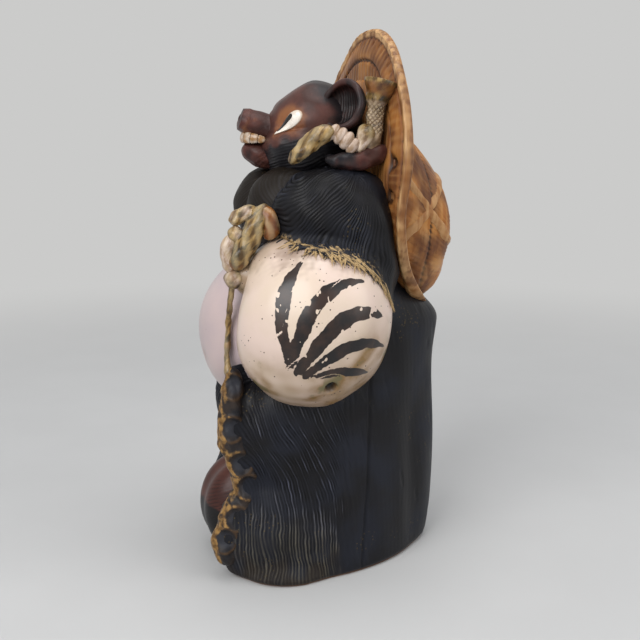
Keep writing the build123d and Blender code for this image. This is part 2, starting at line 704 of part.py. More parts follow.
os.makedirs("parts", exist_ok=True)
for name, solid in nodes.items():
    export_step(solid, f"parts/{name}.step")
    print(name, len(solid.solids()), round(solid.volume / 1000, 1), solid.is_valid)
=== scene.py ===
# %% [markdown]
# A glazed stoneware tanuki, the raccoon dog that stands at shop doors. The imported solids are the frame:
# every visible piece is rebuilt over them in finer clay, with comb strokes, thumb marks and running glaze.
# Positions are in the frame's own axes: +Z up, the figure faces -Y, and its left side is +X. Clay forms
# are written in millimetres; lamps, camera and glaze sizes in metres.

# %% Load the frame
from math import cos, pi, radians, sin

import bpy
import numpy as np
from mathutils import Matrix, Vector


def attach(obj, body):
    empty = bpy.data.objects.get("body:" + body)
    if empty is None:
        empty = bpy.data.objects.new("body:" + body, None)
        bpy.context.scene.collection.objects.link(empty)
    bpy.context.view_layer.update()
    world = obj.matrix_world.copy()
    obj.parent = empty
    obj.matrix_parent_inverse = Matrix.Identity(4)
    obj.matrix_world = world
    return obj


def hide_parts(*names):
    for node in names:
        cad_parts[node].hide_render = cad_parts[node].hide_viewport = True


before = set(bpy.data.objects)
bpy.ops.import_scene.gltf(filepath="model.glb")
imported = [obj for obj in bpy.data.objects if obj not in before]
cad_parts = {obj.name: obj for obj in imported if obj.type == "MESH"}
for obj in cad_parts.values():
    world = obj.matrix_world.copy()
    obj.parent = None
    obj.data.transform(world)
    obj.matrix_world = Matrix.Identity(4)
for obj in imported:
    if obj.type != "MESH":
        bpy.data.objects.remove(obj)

scene = bpy.context.scene
scene.view_settings.view_transform = "Standard"
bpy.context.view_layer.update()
MM = 0.001
print("frame nodes", len(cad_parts))

# %% [markdown]
# The camera stands to the figure's left, a little in front and slightly above its shoulder, as the
# photographer did. Its place is written as an angle round the figure, a distance and a height, because
# those three are easy to judge from a picture; a free matrix would hide them.

# %% Camera
CAMERA_AZIMUTH, CAMERA_PITCH = radians(72.0), radians(10.4)
CAMERA_DISTANCE, CAMERA_HEIGHT = 0.652, 0.290

camera_data = bpy.data.cameras.new("side_camera")
camera_data.lens = 50.0
camera_data.sensor_width = 36.0
camera = bpy.data.objects.new("side_camera", camera_data)
scene.collection.objects.link(camera)
to_camera = Vector((sin(CAMERA_AZIMUTH), -cos(CAMERA_AZIMUTH), 0.0))
camera.location = to_camera * CAMERA_DISTANCE + Vector((0, 0, CAMERA_HEIGHT))
look = -to_camera * cos(CAMERA_PITCH) - Vector((0, 0, sin(CAMERA_PITCH)))
camera.rotation_euler = look.to_track_quat("-Z", "Y").to_euler()
scene.camera = camera
print("camera at", [round(v, 3) for v in camera.location])

# %% [markdown]
# Light is a large soft lamp high on the side that the figure faces, weaker ones behind and above it, and
# an even grey world. Large lamps give the long soft highlights that make a dark glaze readable.

# %% Light
def soft_lamp(name, place, size, power):
    data = bpy.data.lights.new(name, "AREA")
    data.size = size
    data.energy = power
    lamp = bpy.data.objects.new(name, data)
    lamp.location = place
    aim = Vector((0.0, 0.0, 0.2)) - Vector(place)
    lamp.rotation_euler = aim.to_track_quat("-Z", "Y").to_euler()
    scene.collection.objects.link(lamp)


soft_lamp("window_side", (1.0, -1.2, 1.3), 1.2, 26.0)
soft_lamp("room_side", (1.1, 1.3, 1.0), 1.4, 12.0)
soft_lamp("overhead", (0.1, 0.1, 1.7), 1.0, 9.0)
world = bpy.data.worlds.new("room")
scene.world = world
world.use_nodes = True
room_light = world.node_tree.nodes["Background"]
room_light.inputs["Color"].default_value = (0.93, 0.95, 1.0, 1.0)
room_light.inputs["Strength"].default_value = 0.5

# %% [markdown]
# Node materials are long when written out socket by socket. A small class holds a node tree and has a short
# name for each thing that the glazes ask for again and again, so that a glaze reads as a list of layers.
# Four of these are node groups, made in the next step: clouds, pin-holes, streaks and breaking.

# %% Node helpers
def paint(code):
    """A colour picked as a web code, turned into the linear values that nodes use."""
    parts = [int(code[i : i + 2], 16) / 255 for i in (0, 2, 4)]
    return (*[c / 12.92 if c <= 0.04045 else ((c + 0.055) / 1.055) ** 2.4 for c in parts], 1.0)


class Nodes:
    def __init__(self, tree):
        self.tree = tree

    def feed(self, socket, value):
        """Link a node's output to the socket, or set the socket's value; a colour may be a web code."""
        if isinstance(value, bpy.types.NodeSocket):
            self.tree.links.new(value, socket)
        else:
            is_code = socket.type == "RGBA" and isinstance(value, str)
            socket.default_value = paint(value) if is_code else value

    def add(self, kind, settings=None, numbered=None, **named):
        """A new node with its settings, and its inputs by number or by name."""
        made = self.tree.nodes.new(kind)
        for key, value in (settings or {}).items():
            setattr(made, key, value)
        for key, value in (numbered or {}).items():
            self.feed(made.inputs[key], value)
        for key, value in named.items():
            self.feed(made.inputs[key.replace("_", " ")], value)
        return made

    def mix(self, share, first, second):
        return self.add("ShaderNodeMix", {"data_type": "RGBA"}, {0: share, 6: first, 7: second}).outputs[2]

    def math(self, operation, first, second, clamp=False):
        settings = {"operation": operation, "use_clamp": clamp}
        return self.add("ShaderNodeMath", settings, {0: first, 1: second}).outputs[0]

    def times(self, first, second, clamp=False):
        return self.math("MULTIPLY", first, second, clamp)

    def plus(self, first, second, clamp=False):
        return self.math("ADD", first, second, clamp)

    def step(self, value, low, high):
        """0 below low, 1 above high and a smooth rise between."""
        return self.add("ShaderNodeMapRange", {"interpolation_type": "SMOOTHSTEP"}, Value=value,
                        From_Min=low, From_Max=high).outputs["Result"]

    def stored(self, name):
        """A value kept at each point of the mesh by the piece's own cell."""
        return self.add("ShaderNodeAttribute", {"attribute_name": name}).outputs["Fac"]

    def ragged(self, name, mask, amount):
        """A stored value made uneven by a mask."""
        return self.plus(self.stored(name), self.times(self.math("SUBTRACT", mask, 0.5), amount))

    def place(self):
        return self.add("ShaderNodeTexCoord").outputs["Object"]

    def noise(self, place, scale, detail):
        return self.add("ShaderNodeTexNoise", Vector=place, Scale=scale, Detail=detail).outputs["Fac"]

    def group(self, tree, output, **named):
        return self.add("ShaderNodeGroup", {"node_tree": tree}, **named).outputs[output]

    def clouds(self, size, detail=4.0):
        return self.group(CLOUDS, "Mask", Size=size, Detail=detail)

    def pin_holes(self, spacing, radius):
        return self.group(PIN_HOLES, "Mask", Spacing=spacing, Radius=radius)

    def streaks(self, width, length, turn=(0.0, 0.0, 0.0)):
        return self.group(STREAKS, "Mask", Width=width, Length=length, Turn=turn)

    def breaking(self, glaze, pool, edge, pooling, strength):
        return self.group(BREAKING, "Color", Glaze=glaze, Pool=pool, Break=edge, Pooling=pooling,
                          Breaking=strength)


print("helpers ready")

# %% [markdown]
# Four effects come back on every glazed surface, so each is one node group: slow clouds where the glaze
# is thick or thin, pin-holes where gas broke through it, long streaks where it ran, and the way it
# breaks pale on raised edges and pools dark in hollows. A texture image could hold all this, but groups
# stay sharp at any distance and are shared with other values.

# %% Shared glaze effects
SOCKETS = {1: "NodeSocketFloat", 3: "NodeSocketVector", 4: "NodeSocketColor"}


def open_group(name, output, size, **inputs):
    """A group with named inputs and their first values, and one output of 1 or 4 numbers."""
    tree = bpy.data.node_groups.new(name, "ShaderNodeTree")
    for label, value in inputs.items():
        socket = tree.interface.new_socket(label, in_out="INPUT", socket_type=SOCKETS[np.size(value)])
        socket.default_value = value
    tree.interface.new_socket(output, in_out="OUTPUT", socket_type=SOCKETS[size])
    return Nodes(tree), tree.nodes.new("NodeGroupInput").outputs, tree.nodes.new("NodeGroupOutput")


def make_clouds():
    n, into, out = open_group("glaze_clouds", "Mask", 1, Size=0.03, Detail=4.0)
    noise = n.noise(n.place(), n.math("DIVIDE", 1.0, into["Size"]), into["Detail"])
    n.feed(out.inputs["Mask"], n.step(noise, 0.35, 0.65))
    return n.tree


def make_pin_holes():
    n, into, out = open_group("glaze_pin_holes", "Mask", 1, Spacing=0.006, Radius=0.12)
    place = n.place()
    scale = n.math("DIVIDE", 1.0, into["Spacing"])
    cells = n.add("ShaderNodeTexVoronoi", Vector=place, Scale=scale, Randomness=1.0)
    size = n.times(into["Radius"], n.step(n.noise(place, 55.0, 2.0), 0.42, 0.62))
    inside = n.math("SUBTRACT", size, cells.outputs["Distance"])
    n.feed(out.inputs["Mask"], n.step(inside, 0.0, 0.03))
    return n.tree


def make_streaks():
    n, into, out = open_group("glaze_streaks", "Mask", 1, Width=0.004, Length=0.05, Turn=(0.0, 0.0, 0.0))
    turned = n.add("ShaderNodeVectorRotate", {"rotation_type": "EULER_XYZ"}, Vector=n.place(),
                   Rotation=into["Turn"])
    across, along = (n.math("DIVIDE", 1.0, into[label]) for label in ("Width", "Length"))
    stretch = n.add("ShaderNodeCombineXYZ", X=across, Y=across, Z=along)
    spread = n.add("ShaderNodeVectorMath", {"operation": "MULTIPLY"},
                   {0: turned.outputs["Vector"], 1: stretch.outputs["Vector"]})
    n.feed(out.inputs["Mask"], n.step(n.noise(spread.outputs["Vector"], 1.0, 3.0), 0.38, 0.62))
    return n.tree


def make_breaking():
    n, into, out = open_group("glaze_breaking", "Color", 4, Glaze=(0, 0, 0, 1), Pool=(0, 0, 0, 1),
                              Break=(1, 1, 1, 1), Pooling=1.0, Breaking=1.0)
    relief = n.stored("relief")
    patchy = n.plus(0.5, n.times(n.step(n.noise(n.place(), 90.0, 3.0), 0.35, 0.65), 0.5))
    sunk = n.math("SUBTRACT", 1.0, n.step(relief, 0.1, 0.5))
    raised = n.times(n.step(relief, 0.55, 0.95), patchy)
    pooled = n.mix(n.times(sunk, into["Pooling"], True), into["Glaze"], into["Pool"])
    n.feed(out.inputs["Color"], n.mix(n.times(raised, into["Breaking"], True), pooled, into["Break"]))
    return n.tree


CLOUDS, PIN_HOLES, STREAKS, BREAKING = make_clouds(), make_pin_holes(), make_streaks(), make_breaking()
print("glaze groups", [g.name for g in bpy.data.node_groups])

# %% [markdown]
# Each finish is one Principled surface. The helper makes it, and a function per finish colours it. Bump is
# only for grain finer than the mesh: comb lines, thumb hollows and ribs are real geometry.

# %% Finish helper
COAT_ROUGHNESS, GRAIN_HEIGHT = 0.25, 0.0004


class Finish(Nodes):
    def __init__(self, name, roughness, coat=0.25, gloss=0.3):
        self.material = bpy.data.materials.new(name)
        self.material.use_nodes = True
        super().__init__(self.material.node_tree)
        self.shader = self.tree.nodes["Principled BSDF"]
        for label, value in (("Roughness", roughness), ("Coat Weight", coat),
                             ("Coat Roughness", COAT_ROUGHNESS), ("Specular IOR Level", gloss)):
            self.shader.inputs[label].default_value = value

    def coloured(self, colour):
        self.feed(self.shader.inputs["Base Color"], colour)
        return self.material

    def fired(self, colour, size, strength):
        """The material with its colour and the fine unevenness of fired glaze."""
        noise = self.noise(self.place(), 1.0 / size, 3.0)
        bump = self.add("ShaderNodeBump", Strength=strength, Distance=GRAIN_HEIGHT, Height=noise)
        self.feed(self.shader.inputs["Normal"], bump.outputs["Normal"])
        return self.coloured(colour)


print("finish helper ready")

# %% [markdown]
# The coat's glaze is iron black with a blue cast. It turns grey where it thins on ridges, and ash left
# ochre specks between the comb strokes. Low on the front the ridges are made paler and bluer still: a painted
# sheen, put in through "relief" by the coat halves. The stored value "edge" marks hems where it ran thin to
# ochre, "stain" marks brown drifts, and "inside" marks the unglazed clay of the hollow and the foot.

# %% Coat glaze
def make_coat_glaze():
    n = Finish("coat_glaze", 0.42, 0.0, 0.16)
    clouds, drift, inside = n.clouds(0.035), n.clouds(0.06), n.stored("inside")
    base = n.mix(clouds, "171618", "1e2028")
    thin = n.mix(drift, "5b5e6d", "5a564c")
    tinted = n.breaking(base, "030304", thin, 1.0, 0.9)
    specks = n.times(n.pin_holes(0.0026, 0.26), n.step(drift, 0.45, 0.9))
    dusted = n.mix(n.times(specks, 0.4), tinted, "66552f")
    dusted = n.mix(n.stored("stain"), dusted, "2e251b")
    ash = n.ragged("edge", n.clouds(0.0032, 2.0), 0.5)
    hem = n.mix(n.step(ash, 0.35, 0.95), dusted, "ad9268")
    clay = n.mix(clouds, "7d5a44", "94705a")
    rough = n.plus(n.plus(0.4, n.times(clouds, 0.14)), n.times(inside, 0.4))
    n.feed(n.shader.inputs["Roughness"], rough)
    return n.fired(n.mix(inside, hem, clay), 0.0016, 0.25)


coat_glaze = make_coat_glaze()
print("made", coat_glaze.name)

# %% [markdown]
# The belly is a thin milky glaze over pale slip, slightly lilac, with a warmer blush low down. The flask
# has a cream glaze with pin-holes and ochre stains, and "brush" holds its painted spray of grass blades.
# Teeth and eyes are opaque white, and there "brush" holds the dark pupil and the gaps between teeth.

# %% Belly, flask and white glazes
def make_belly_glaze():
    n = Finish("belly_glaze", 0.36)
    base = n.mix(n.clouds(0.05), "bfaca9", "b3a3a6")
    stained = n.mix(n.stored("edge"), base, "7d5b36")
    return n.fired(n.mix(n.times(n.pin_holes(0.007, 0.07), 0.6), stained, "6b4f3c"), 0.004, 0.15)


def make_flask_glaze():
    n = Finish("flask_glaze", 0.32, 0.3)
    patch, stain = n.clouds(0.02), n.stored("stain")
    base = n.mix(n.clouds(0.045), "d8c2b5", "d2bfab")
    settled_ash = n.plus(0.6, n.times(patch, 0.5), True)
    stained = n.mix(n.times(stain, settled_ash), base, "85663a")
    mossy = n.mix(n.times(stain, n.step(patch, 0.8, 1.0)), stained, "6d6443")
    pitted = n.mix(n.pin_holes(0.0034, 0.17), mossy, "3a3028")
    hem = n.mix(n.stored("edge"), pitted, "5b3a1c")
    ink = n.mix(n.clouds(0.012), "151112", "33231c")
    brushed = n.mix(n.step(n.stored("brush"), 0.46, 0.54), hem, ink)
    # Where "inside" marks the vent, the flask is painted near-black: painted shade of the hole into the hollow.
    return n.fired(n.mix(n.stored("inside"), brushed, "0d0907"), 0.003, 0.18)


def make_white_glaze():
    n = Finish("white_glaze", 0.25, 0.4)
    base = n.mix(n.clouds(0.006), "e6ded3", "cfc3b4")
    rimmed = n.mix(n.stored("edge"), base, "9a7348")
    return n.fired(n.mix(n.step(n.stored("brush"), 0.4, 0.6), rimmed, "171210"), 0.002, 0.15)


belly_glaze, flask_glaze, white_glaze = make_belly_glaze(), make_flask_glaze(), make_white_glaze()
print("made", belly_glaze.name, flask_glaze.name, white_glaze.name)

# %% [markdown]
# Straw, rope, the pinched hem and the pouch are the warm parts: ochre ash glaze over iron. They share
# streaks and breaking, and differ in colour and in what their stored values mark. On rope, "tone" runs from
# white slip at 0 over olive at 0.5 to red-brown at 1; on the pouch it is 1 where it turns black towards the foot.

# %% Straw, cord, border and pouch glazes
def make_straw_glaze():
    n = Finish("straw_glaze", 0.5, 0.05, 0.25)
    streaks, clouds = n.streaks(0.0045, 0.06), n.clouds(0.04)
    base = n.mix(streaks, "6e4223", "8a592e")
    base = n.mix(n.times(clouds, 0.5), base, "54301b")
    dirt = n.step(n.streaks(0.012, 0.05), 0.55, 1.0)
    base = n.mix(n.times(dirt, 0.2), base, "3a2215")
    base = n.mix(n.stored("stain"), base, n.mix(streaks, "a3662d", "b67d40"))
    tinted = n.breaking(base, "29170e", "a67a4a", 0.9, 0.6)
    worn = n.times(n.stored("edge"), n.plus(0.35, streaks), True)
    n.feed(n.shader.inputs["Roughness"], n.plus(0.36, n.times(clouds, 0.2)))
    return n.fired(n.mix(worn, tinted, "c0986a"), 0.002, 0.3)


def make_cord_glaze():
    n = Finish("cord_glaze", 0.38, 0.2)
    streaks, clouds, tone = n.streaks(0.003, 0.02, (0.6, 0.3, 0.0)), n.clouds(0.014), n.stored("tone")
    olive = n.mix(streaks, "5e4422", "a5854f")
    olive = n.mix(n.times(clouds, 0.55), olive, "3a2d1a")
    runs = n.step(n.streaks(0.005, 0.016, (0.9, 0.2, 0.0)), 0.7, 1.0)
    olive = n.mix(n.times(runs, 0.8), olive, "191510")
    white = n.mix(streaks, "9c8168", "c2ae9f")
    brown = n.mix(clouds, "4a2415", "8a5424")
    warm = n.mix(n.step(tone, 0.15, 0.4), white, olive)
    warm = n.mix(n.step(tone, 0.6, 0.9), warm, brown)
    return n.fired(n.breaking(warm, "231a10", "d3c29a", 0.85, 0.45), 0.0018, 0.3)


def make_border_glaze():
    n = Finish("border_glaze", 0.48, 0.0, 0.2)
    specks = n.clouds(0.0042, 5.0)
    tinted = n.breaking(n.mix(n.clouds(0.012), "1e1d20", "312925"), "2f3036", "6a4d2b", 0.9, 0.6)
    ochre = n.mix(specks, "583e21", "987544")
    ash = n.step(n.ragged("edge", specks, 0.4), 0.25, 0.75)
    return n.fired(n.mix(ash, tinted, ochre), 0.0018, 0.35)


def make_pouch_glaze():
    n = Finish("pouch_glaze", 0.4, 0.08, 0.25)
    tinted = n.breaking(n.mix(n.clouds(0.02), "3a1b15", "4d281f"), "1c0e0c", "57352b", 0.8, 0.25)
    return n.fired(n.mix(n.stored("tone"), tinted, "100d0e"), 0.003, 0.2)


straw_glaze, cord_glaze = make_straw_glaze(), make_cord_glaze()
border_glaze, pouch_glaze = make_border_glaze(), make_pouch_glaze()
print("made", straw_glaze.name, cord_glaze.name, border_glaze.name, pouch_glaze.name)

# %% [markdown]
# The face is the one place with three glazes on one lump: black on the crown and cheeks, red-brown over
# the brow, and amber round the eyes and along the muzzle. The stored value "tone" carries black to
# red-brown to amber as 0, 0.5 and 1.

# %% Face glaze
def make_face_glaze():
    n = Finish("face_glaze", 0.42, 0.0, 0.22)
    clouds = n.clouds(0.012)
    black = n.mix(clouds, "17161a", "211f23")
    brown = n.mix(clouds, "41251f", "53302a")
    amber = n.mix(clouds, "7a4529", "8c5934")
    uneven = n.ragged("tone", clouds, 0.2)
    skin = n.mix(n.step(uneven, 0.1, 0.5), black, brown)
    skin = n.mix(n.step(uneven, 0.55, 1.0), skin, amber)
    tinted = n.breaking(skin, "0c0909", "4a3a34", 0.8, 0.35)
    return n.fired(n.mix(n.times(n.pin_holes(0.004, 0.1), 0.7), tinted, "120c0a"), 0.0018, 0.3)


face_glaze = make_face_glaze()
print("made", face_glaze.name)

# %% [markdown]
# Clay pieces are made as rings of points, in millimetres, that a helper sews into one closed mesh. Values
# for the glaze, such as how deep a point lies in a comb stroke, are kept on the points, so colour always
# follows shape. Sculpting by hand would be freer, but a script has to give the same clay every time.

# %% Mesh helpers
USUAL_VALUES = {"relief": 0.5, "edge": 0.0, "inside": 0.0, "tone": 0.5, "brush": 0.0, "stain": 0.0}


def marked(mesh, shape, values):
    """Keep the glaze's values on the mesh's points; what a piece doesn't give has its usual value."""
    for label, usual in USUAL_VALUES.items():
        value = np.broadcast_to(values.get(label, usual), shape).astype(np.float32)
        mesh.attributes.new(label, "FLOAT", "POINT").data.foreach_set("value", value.ravel())


def settled(name, mesh, nodes):
    """The piece rides on the one fired body and stands for its solids."""
    piece = bpy.data.objects.new(name, mesh)
    scene.collection.objects.link(piece)
    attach(piece, "root")
    if nodes:
        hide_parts(*nodes)
    print(piece.name, len(piece.data.polygons), "faces")


def sewn(name, rings, material, *nodes, slot=None, **values):
    """One closed piece from rings of points: quads between the rings, and one face over each end."""
    rows, columns = rings.shape[:2]
    points = rings.reshape(-1, 3)
    index = np.arange(rows * columns).reshape(rows, columns)
    low, high = index[:-1], index[1:]
    quads = np.stack([low, np.roll(low, -1, 1), np.roll(high, -1, 1), high], -1).reshape(-1, 4)
    ends = [index[0][::-1], index[-1]]
    centred = points - points.mean(0)
    fans = [np.stack([np.full(columns - 2, e[0]), e[1:-1], e[2:]], -1) for e in ends]
    triangles = np.concatenate([quads[:, [0, 1, 2]], quads[:, [0, 2, 3]], *fans])
    a, b, c = (centred[triangles[:, i]] for i in range(3))
    if np.einsum("ij,ij->i", a, np.cross(b, c)).sum() < 0:
        quads = quads[:, ::-1]
        ends = [e[::-1] for e in ends]
    mesh = bpy.data.meshes.new(name)
    mesh.from_pydata((points * MM).tolist(), [], quads.tolist() + [e.tolist() for e in ends])
    smooth = np.ones(len(mesh.polygons), bool)
    smooth[-2:] = False
    mesh.polygons.foreach_set("use_smooth", smooth)
    marked(mesh, (rows, columns), values)
    mesh.materials.append(material)
    settled(name, mesh, nodes)


def axes(points):
    return np.moveaxis(points, -1, 0)


def unit(ways):
    return ways / np.linalg.norm(ways, axis=-1, keepdims=True)


def pushed(points, ways, amount):
    return points + ways * np.asarray(amount)[..., None]


def facing(points, centre, closed=True):
    """Outward unit normals of a grid of points."""
    if closed:
        du = np.roll(points, -1, 1) - np.roll(points, 1, 1)
    else:
        du = np.gradient(points, axis=1)
    normal = np.cross(du, np.gradient(points, axis=0))
    normal /= np.linalg.norm(normal, axis=-1, keepdims=True) + 1e-9
    outward = np.einsum("...i,...i->...", normal, points - np.asarray(centre, float))
    return normal * np.sign(np.median(outward))


def wobble(points, size, seed):
    """Smooth unevenness between about -1 and 1, from crossed waves that are the same in every run."""
    rng = np.random.default_rng(seed)
    total = 0.0
    for _ in range(7):
        wave = rng.normal(size=3)
        wave *= 2 * pi * rng.uniform(0.6, 1.5) / (size * np.linalg.norm(wave))
        total = total + np.sin(points @ wave + rng.uniform(0, 2 * pi))
    return total / 3.2


def rise(value, low, high):
    """0 below low, 1 above high, smooth between; low may be above high for a fall."""
    share = np.clip((value - low) / (high - low), 0.0, 1.0)
    return share * share * (3 - 2 * share)


def bell(value, width):
    """1 at zero, falling to nothing a few widths away."""
    return np.exp(-((value / width) ** 2))


def clipped(value):
    return np.clip(value, 0, 1)


GOLDEN_SHARE = 0.618034


def combed(across, points, pitch, seed):
    """Comb strokes: 0 at the bottom of a furrow, up to 1 on a ridge; each ridge has its own height."""
    drift = 1.1 * wobble(points, 34.0, seed) + 0.22 * wobble(points, 8.0, seed + 1)
    stroke = (across + drift) / pitch
    wave = 0.5 - 0.5 * np.cos(2 * pi * stroke)
    own_height = 0.55 + 0.45 * np.mod(GOLDEN_SHARE * np.floor(stroke), 1.0)
    pressed = np.clip(0.75 + 0.45 * wobble(points, 14.0, seed + 2), 0.25, 1.0)
    return pressed * own_height * wave**0.6 + (1 - pressed) * 0.5


print("mesh helpers ready")

# %% [markdown]
# A figure like this is lumps pressed together and smoothed with a wet thumb. Each lump is written as a
# rule that is negative inside the clay; a soft union melts two of them into one skin. Rays sent out from
# the middle find where they leave the clay, which gives even rings of points on any such form.

# %% Clay forms
# Height, middle line, half width, reach to the front and to the back of the body.
LEVELS = np.array([
    (0, -33, 74, 41, 111), (58, -29, 75, 43, 107), (118, -22, 70, 44, 104), (170, -15, 66, 45, 106),
    (205, -11, 65, 45, 70), (252, -8, 56, 37, 37), (283, -6, 33, 26, 29)], float)
RAY_STEPS, RAY_HALVINGS = 60, 9


def body_level(height):
    """Middle line, half width, reach to the front and to the back at a height, on smooth curves."""
    z, values = LEVELS[:, 0], LEVELS[:, 1:]
    steps = np.diff(values, axis=0) / np.diff(z)[:, None]
    product = steps[:-1] * steps[1:]
    total = np.where(product > 0, steps[:-1] + steps[1:], 1.0)
    inner = np.where(product > 0, 2 * product / total, 0.0)
    slopes = np.vstack([steps[:1], inner, steps[-1:]])
    i = np.clip(np.searchsorted(z, height) - 1, 0, len(z) - 2)
    span = (z[i + 1] - z[i])[..., None]
    t = clipped((height - z[i]) / (z[i + 1] - z[i]))[..., None]
    return axes(values[i] * (1 + 2 * t) * (1 - t) ** 2 + slopes[i] * span * t * (1 - t) ** 2
                + values[i + 1] * t**2 * (3 - 2 * t) + slopes[i + 1] * span * t**2 * (t - 1))


def body_clay(p):
    x, y, z = axes(p)
    middle, half, front, back = body_level(z)
    reach = np.where(y < middle, front, back)
    return (np.hypot(x / half, (y - middle) / reach) - 1) * np.minimum(half, reach)


def lump(p, centre, halves):
    halves = np.asarray(halves, float)
    q = (p - np.asarray(centre, float)) / halves
    away = np.linalg.norm(q, axis=-1)
    return away * (away - 1) / (np.linalg.norm(q / halves, axis=-1) + 1e-9)


def limb(p, start, end, start_radius, end_radius):
    start, end = np.asarray(start, float), np.asarray(end, float)
    along = clipped((p - start) @ (end - start) / ((end - start) @ (end - start)))
    near = pushed(start, end - start, along)
    return np.linalg.norm(p - near, axis=-1) - (start_radius + along * (end_radius - start_radius))


def melted(first, second, width):
    share = clipped(0.5 + 0.5 * (second - first) / width)
    return second * (1 - share) + first * share - width * share * (1 - share)


def twin_lumps(p, centre, halves, width):
    """Two equal lumps, one on each side of the figure, melted together."""
    left, right = (lump(p, np.multiply(centre, (side, 1, 1)), halves) for side in (1, -1))
    return melted(left, right, width)


def leaving(clay, origin, ways, far):
    """How far along each ray from the origin the clay's outermost surface is."""
    low = np.zeros(ways.shape[:-1])
    found = np.zeros(ways.shape[:-1], bool)
    step = far / RAY_STEPS
    for i in range(RAY_STEPS, 0, -1):
        inside = (clay(origin + ways * (i * step)) < 0) & ~found
        low[inside] = i * step
        found |= inside
    high = low + step
    for _ in range(RAY_HALVINGS):
        middle = (low + high) / 2
        inside = clay(pushed(origin, ways, middle)) < 0
        low, high = np.where(inside, middle, low), np.where(inside, high, middle)
    return low


def clay_ball(clay, centre, pole, rows, columns, far=120.0):
    """Points on a lump of clay, in rings from one pole to the other, and their outward normals."""
    centre = np.asarray(centre, float)
    pole = np.asarray(pole, float) / np.linalg.norm(pole)
    side = unit(np.cross(pole, (0.0, 0.0, 1.0) if abs(pole[2]) < 0.9 else (0.0, 1.0, 0.0)))
    other = np.cross(pole, side)
    down = np.linspace(0.015, pi - 0.015, rows)[:, None, None]
    turn = np.linspace(0, 2 * pi, columns, endpoint=False)[None, :, None]
    ways = np.cos(down) * pole + np.sin(down) * (np.cos(turn) * side + np.sin(turn) * other)
    points = pushed(centre, ways, leaving(clay, centre, ways, far))
    return points, facing(points, centre)


print("clay forms ready")

# %% [markdown]
# The coat is the body itself: two press-moulded halves whose legs and skirt swell at the sides, combed
# all over while leather hard. Each half is one closed wall with the hollow inside, so the figure can be
# looked into from below. The skin also swells up to the pinched hems in front, because hem and coat were
# one slab of clay, so the lines of the hems are settled here, before the skin.

# %% Coat form
WALL, HOLLOW_COLUMNS = 8.0, 20
TAIL = ((0, 62.5, 66), (36, 24, 84))
COAT_LUMPS = [  # leg, foot and skirt of each side, then the tail: centre, half sizes, width of the melt
    ((42, -37, 29), (33, 44, 47), 7.0), ((38, -40, 4), (40, 38, 17), 5.0), ((43, -34, 106), (32, 40, 46), 8.0),
    ((-45, -33, 29), (33, 44, 47), 7.0), ((-40, -37, 4), (37, 38, 17), 5.0), ((-46, -31, 106), (32, 40, 46), 8.0),
    (*TAIL, 18.0)]
HEM_LEFT = [
    (45, -76, 150, 4.5), (46, -77, 138, 7.5), (47, -78, 126, 9.2), (47, -79, 112, 9.8), (47, -78, 98, 10.0),
    (47, -74, 87, 10.0), (47, -70, 75, 10.0), (47, -69, 62, 10.0), (47, -75, 52, 10.0), (47, -80, 40, 10.0),
    (47, -84, 29, 10.0), (47, -83, 19, 9.5), (46, -78, 11, 8.8)]
HEM_RIGHT_X = -67.0


def bare_coat(p):
    clay = body_clay(p)
    for centre, halves, width in COAT_LUMPS:
        clay = melted(clay, lump(p, centre, halves), width)
    return clay


def right_hem_y(z):
    """The y of the right hem's middle line, a little behind the coat's front."""
    way = np.array([0.0, -1.0, 0.0])
    return -20.0 - float(leaving(bare_coat, np.array([HEM_RIGHT_X, -20.0, z]), way, 90.0)) + 4.0


HEM_RIGHT = [(HEM_RIGHT_X, right_hem_y(z), z, 8.5) for z in np.linspace(130, 13, 9)]


def hem_gap(p, stations):
    """How far a point is from a hem's surface, taken level by level."""
    s = np.array(stations, float)[::-1]
    x, y, z = axes(p)
    hem_x, hem_y, radius = (np.interp(z, s[:, 2], s[:, i]) for i in (0, 1, 3))
    past = np.maximum(np.maximum(z - s[-1, 2], s[0, 2] - z), 0)
    return np.hypot(np.hypot(x - hem_x, y - hem_y), past) - radius


def coat_clay(p):
    clay = bare_coat(p)
    for stations in (HEM_LEFT, HEM_RIGHT):
        clay = melted(clay, hem_gap(p, stations) + 2.8, 14.0)
    return clay


print("right hem's line", [round(y) for _, y, _, _ in HEM_RIGHT])

# %% [markdown]
# The comb strokes are cut along the skin's normals, with a drift so that no two are parallel. The back was
# only scraped with a stick, and a mould seam runs up the side where the two halves were joined.

# %% Coat halves
COAT_GIRTH = 74.0


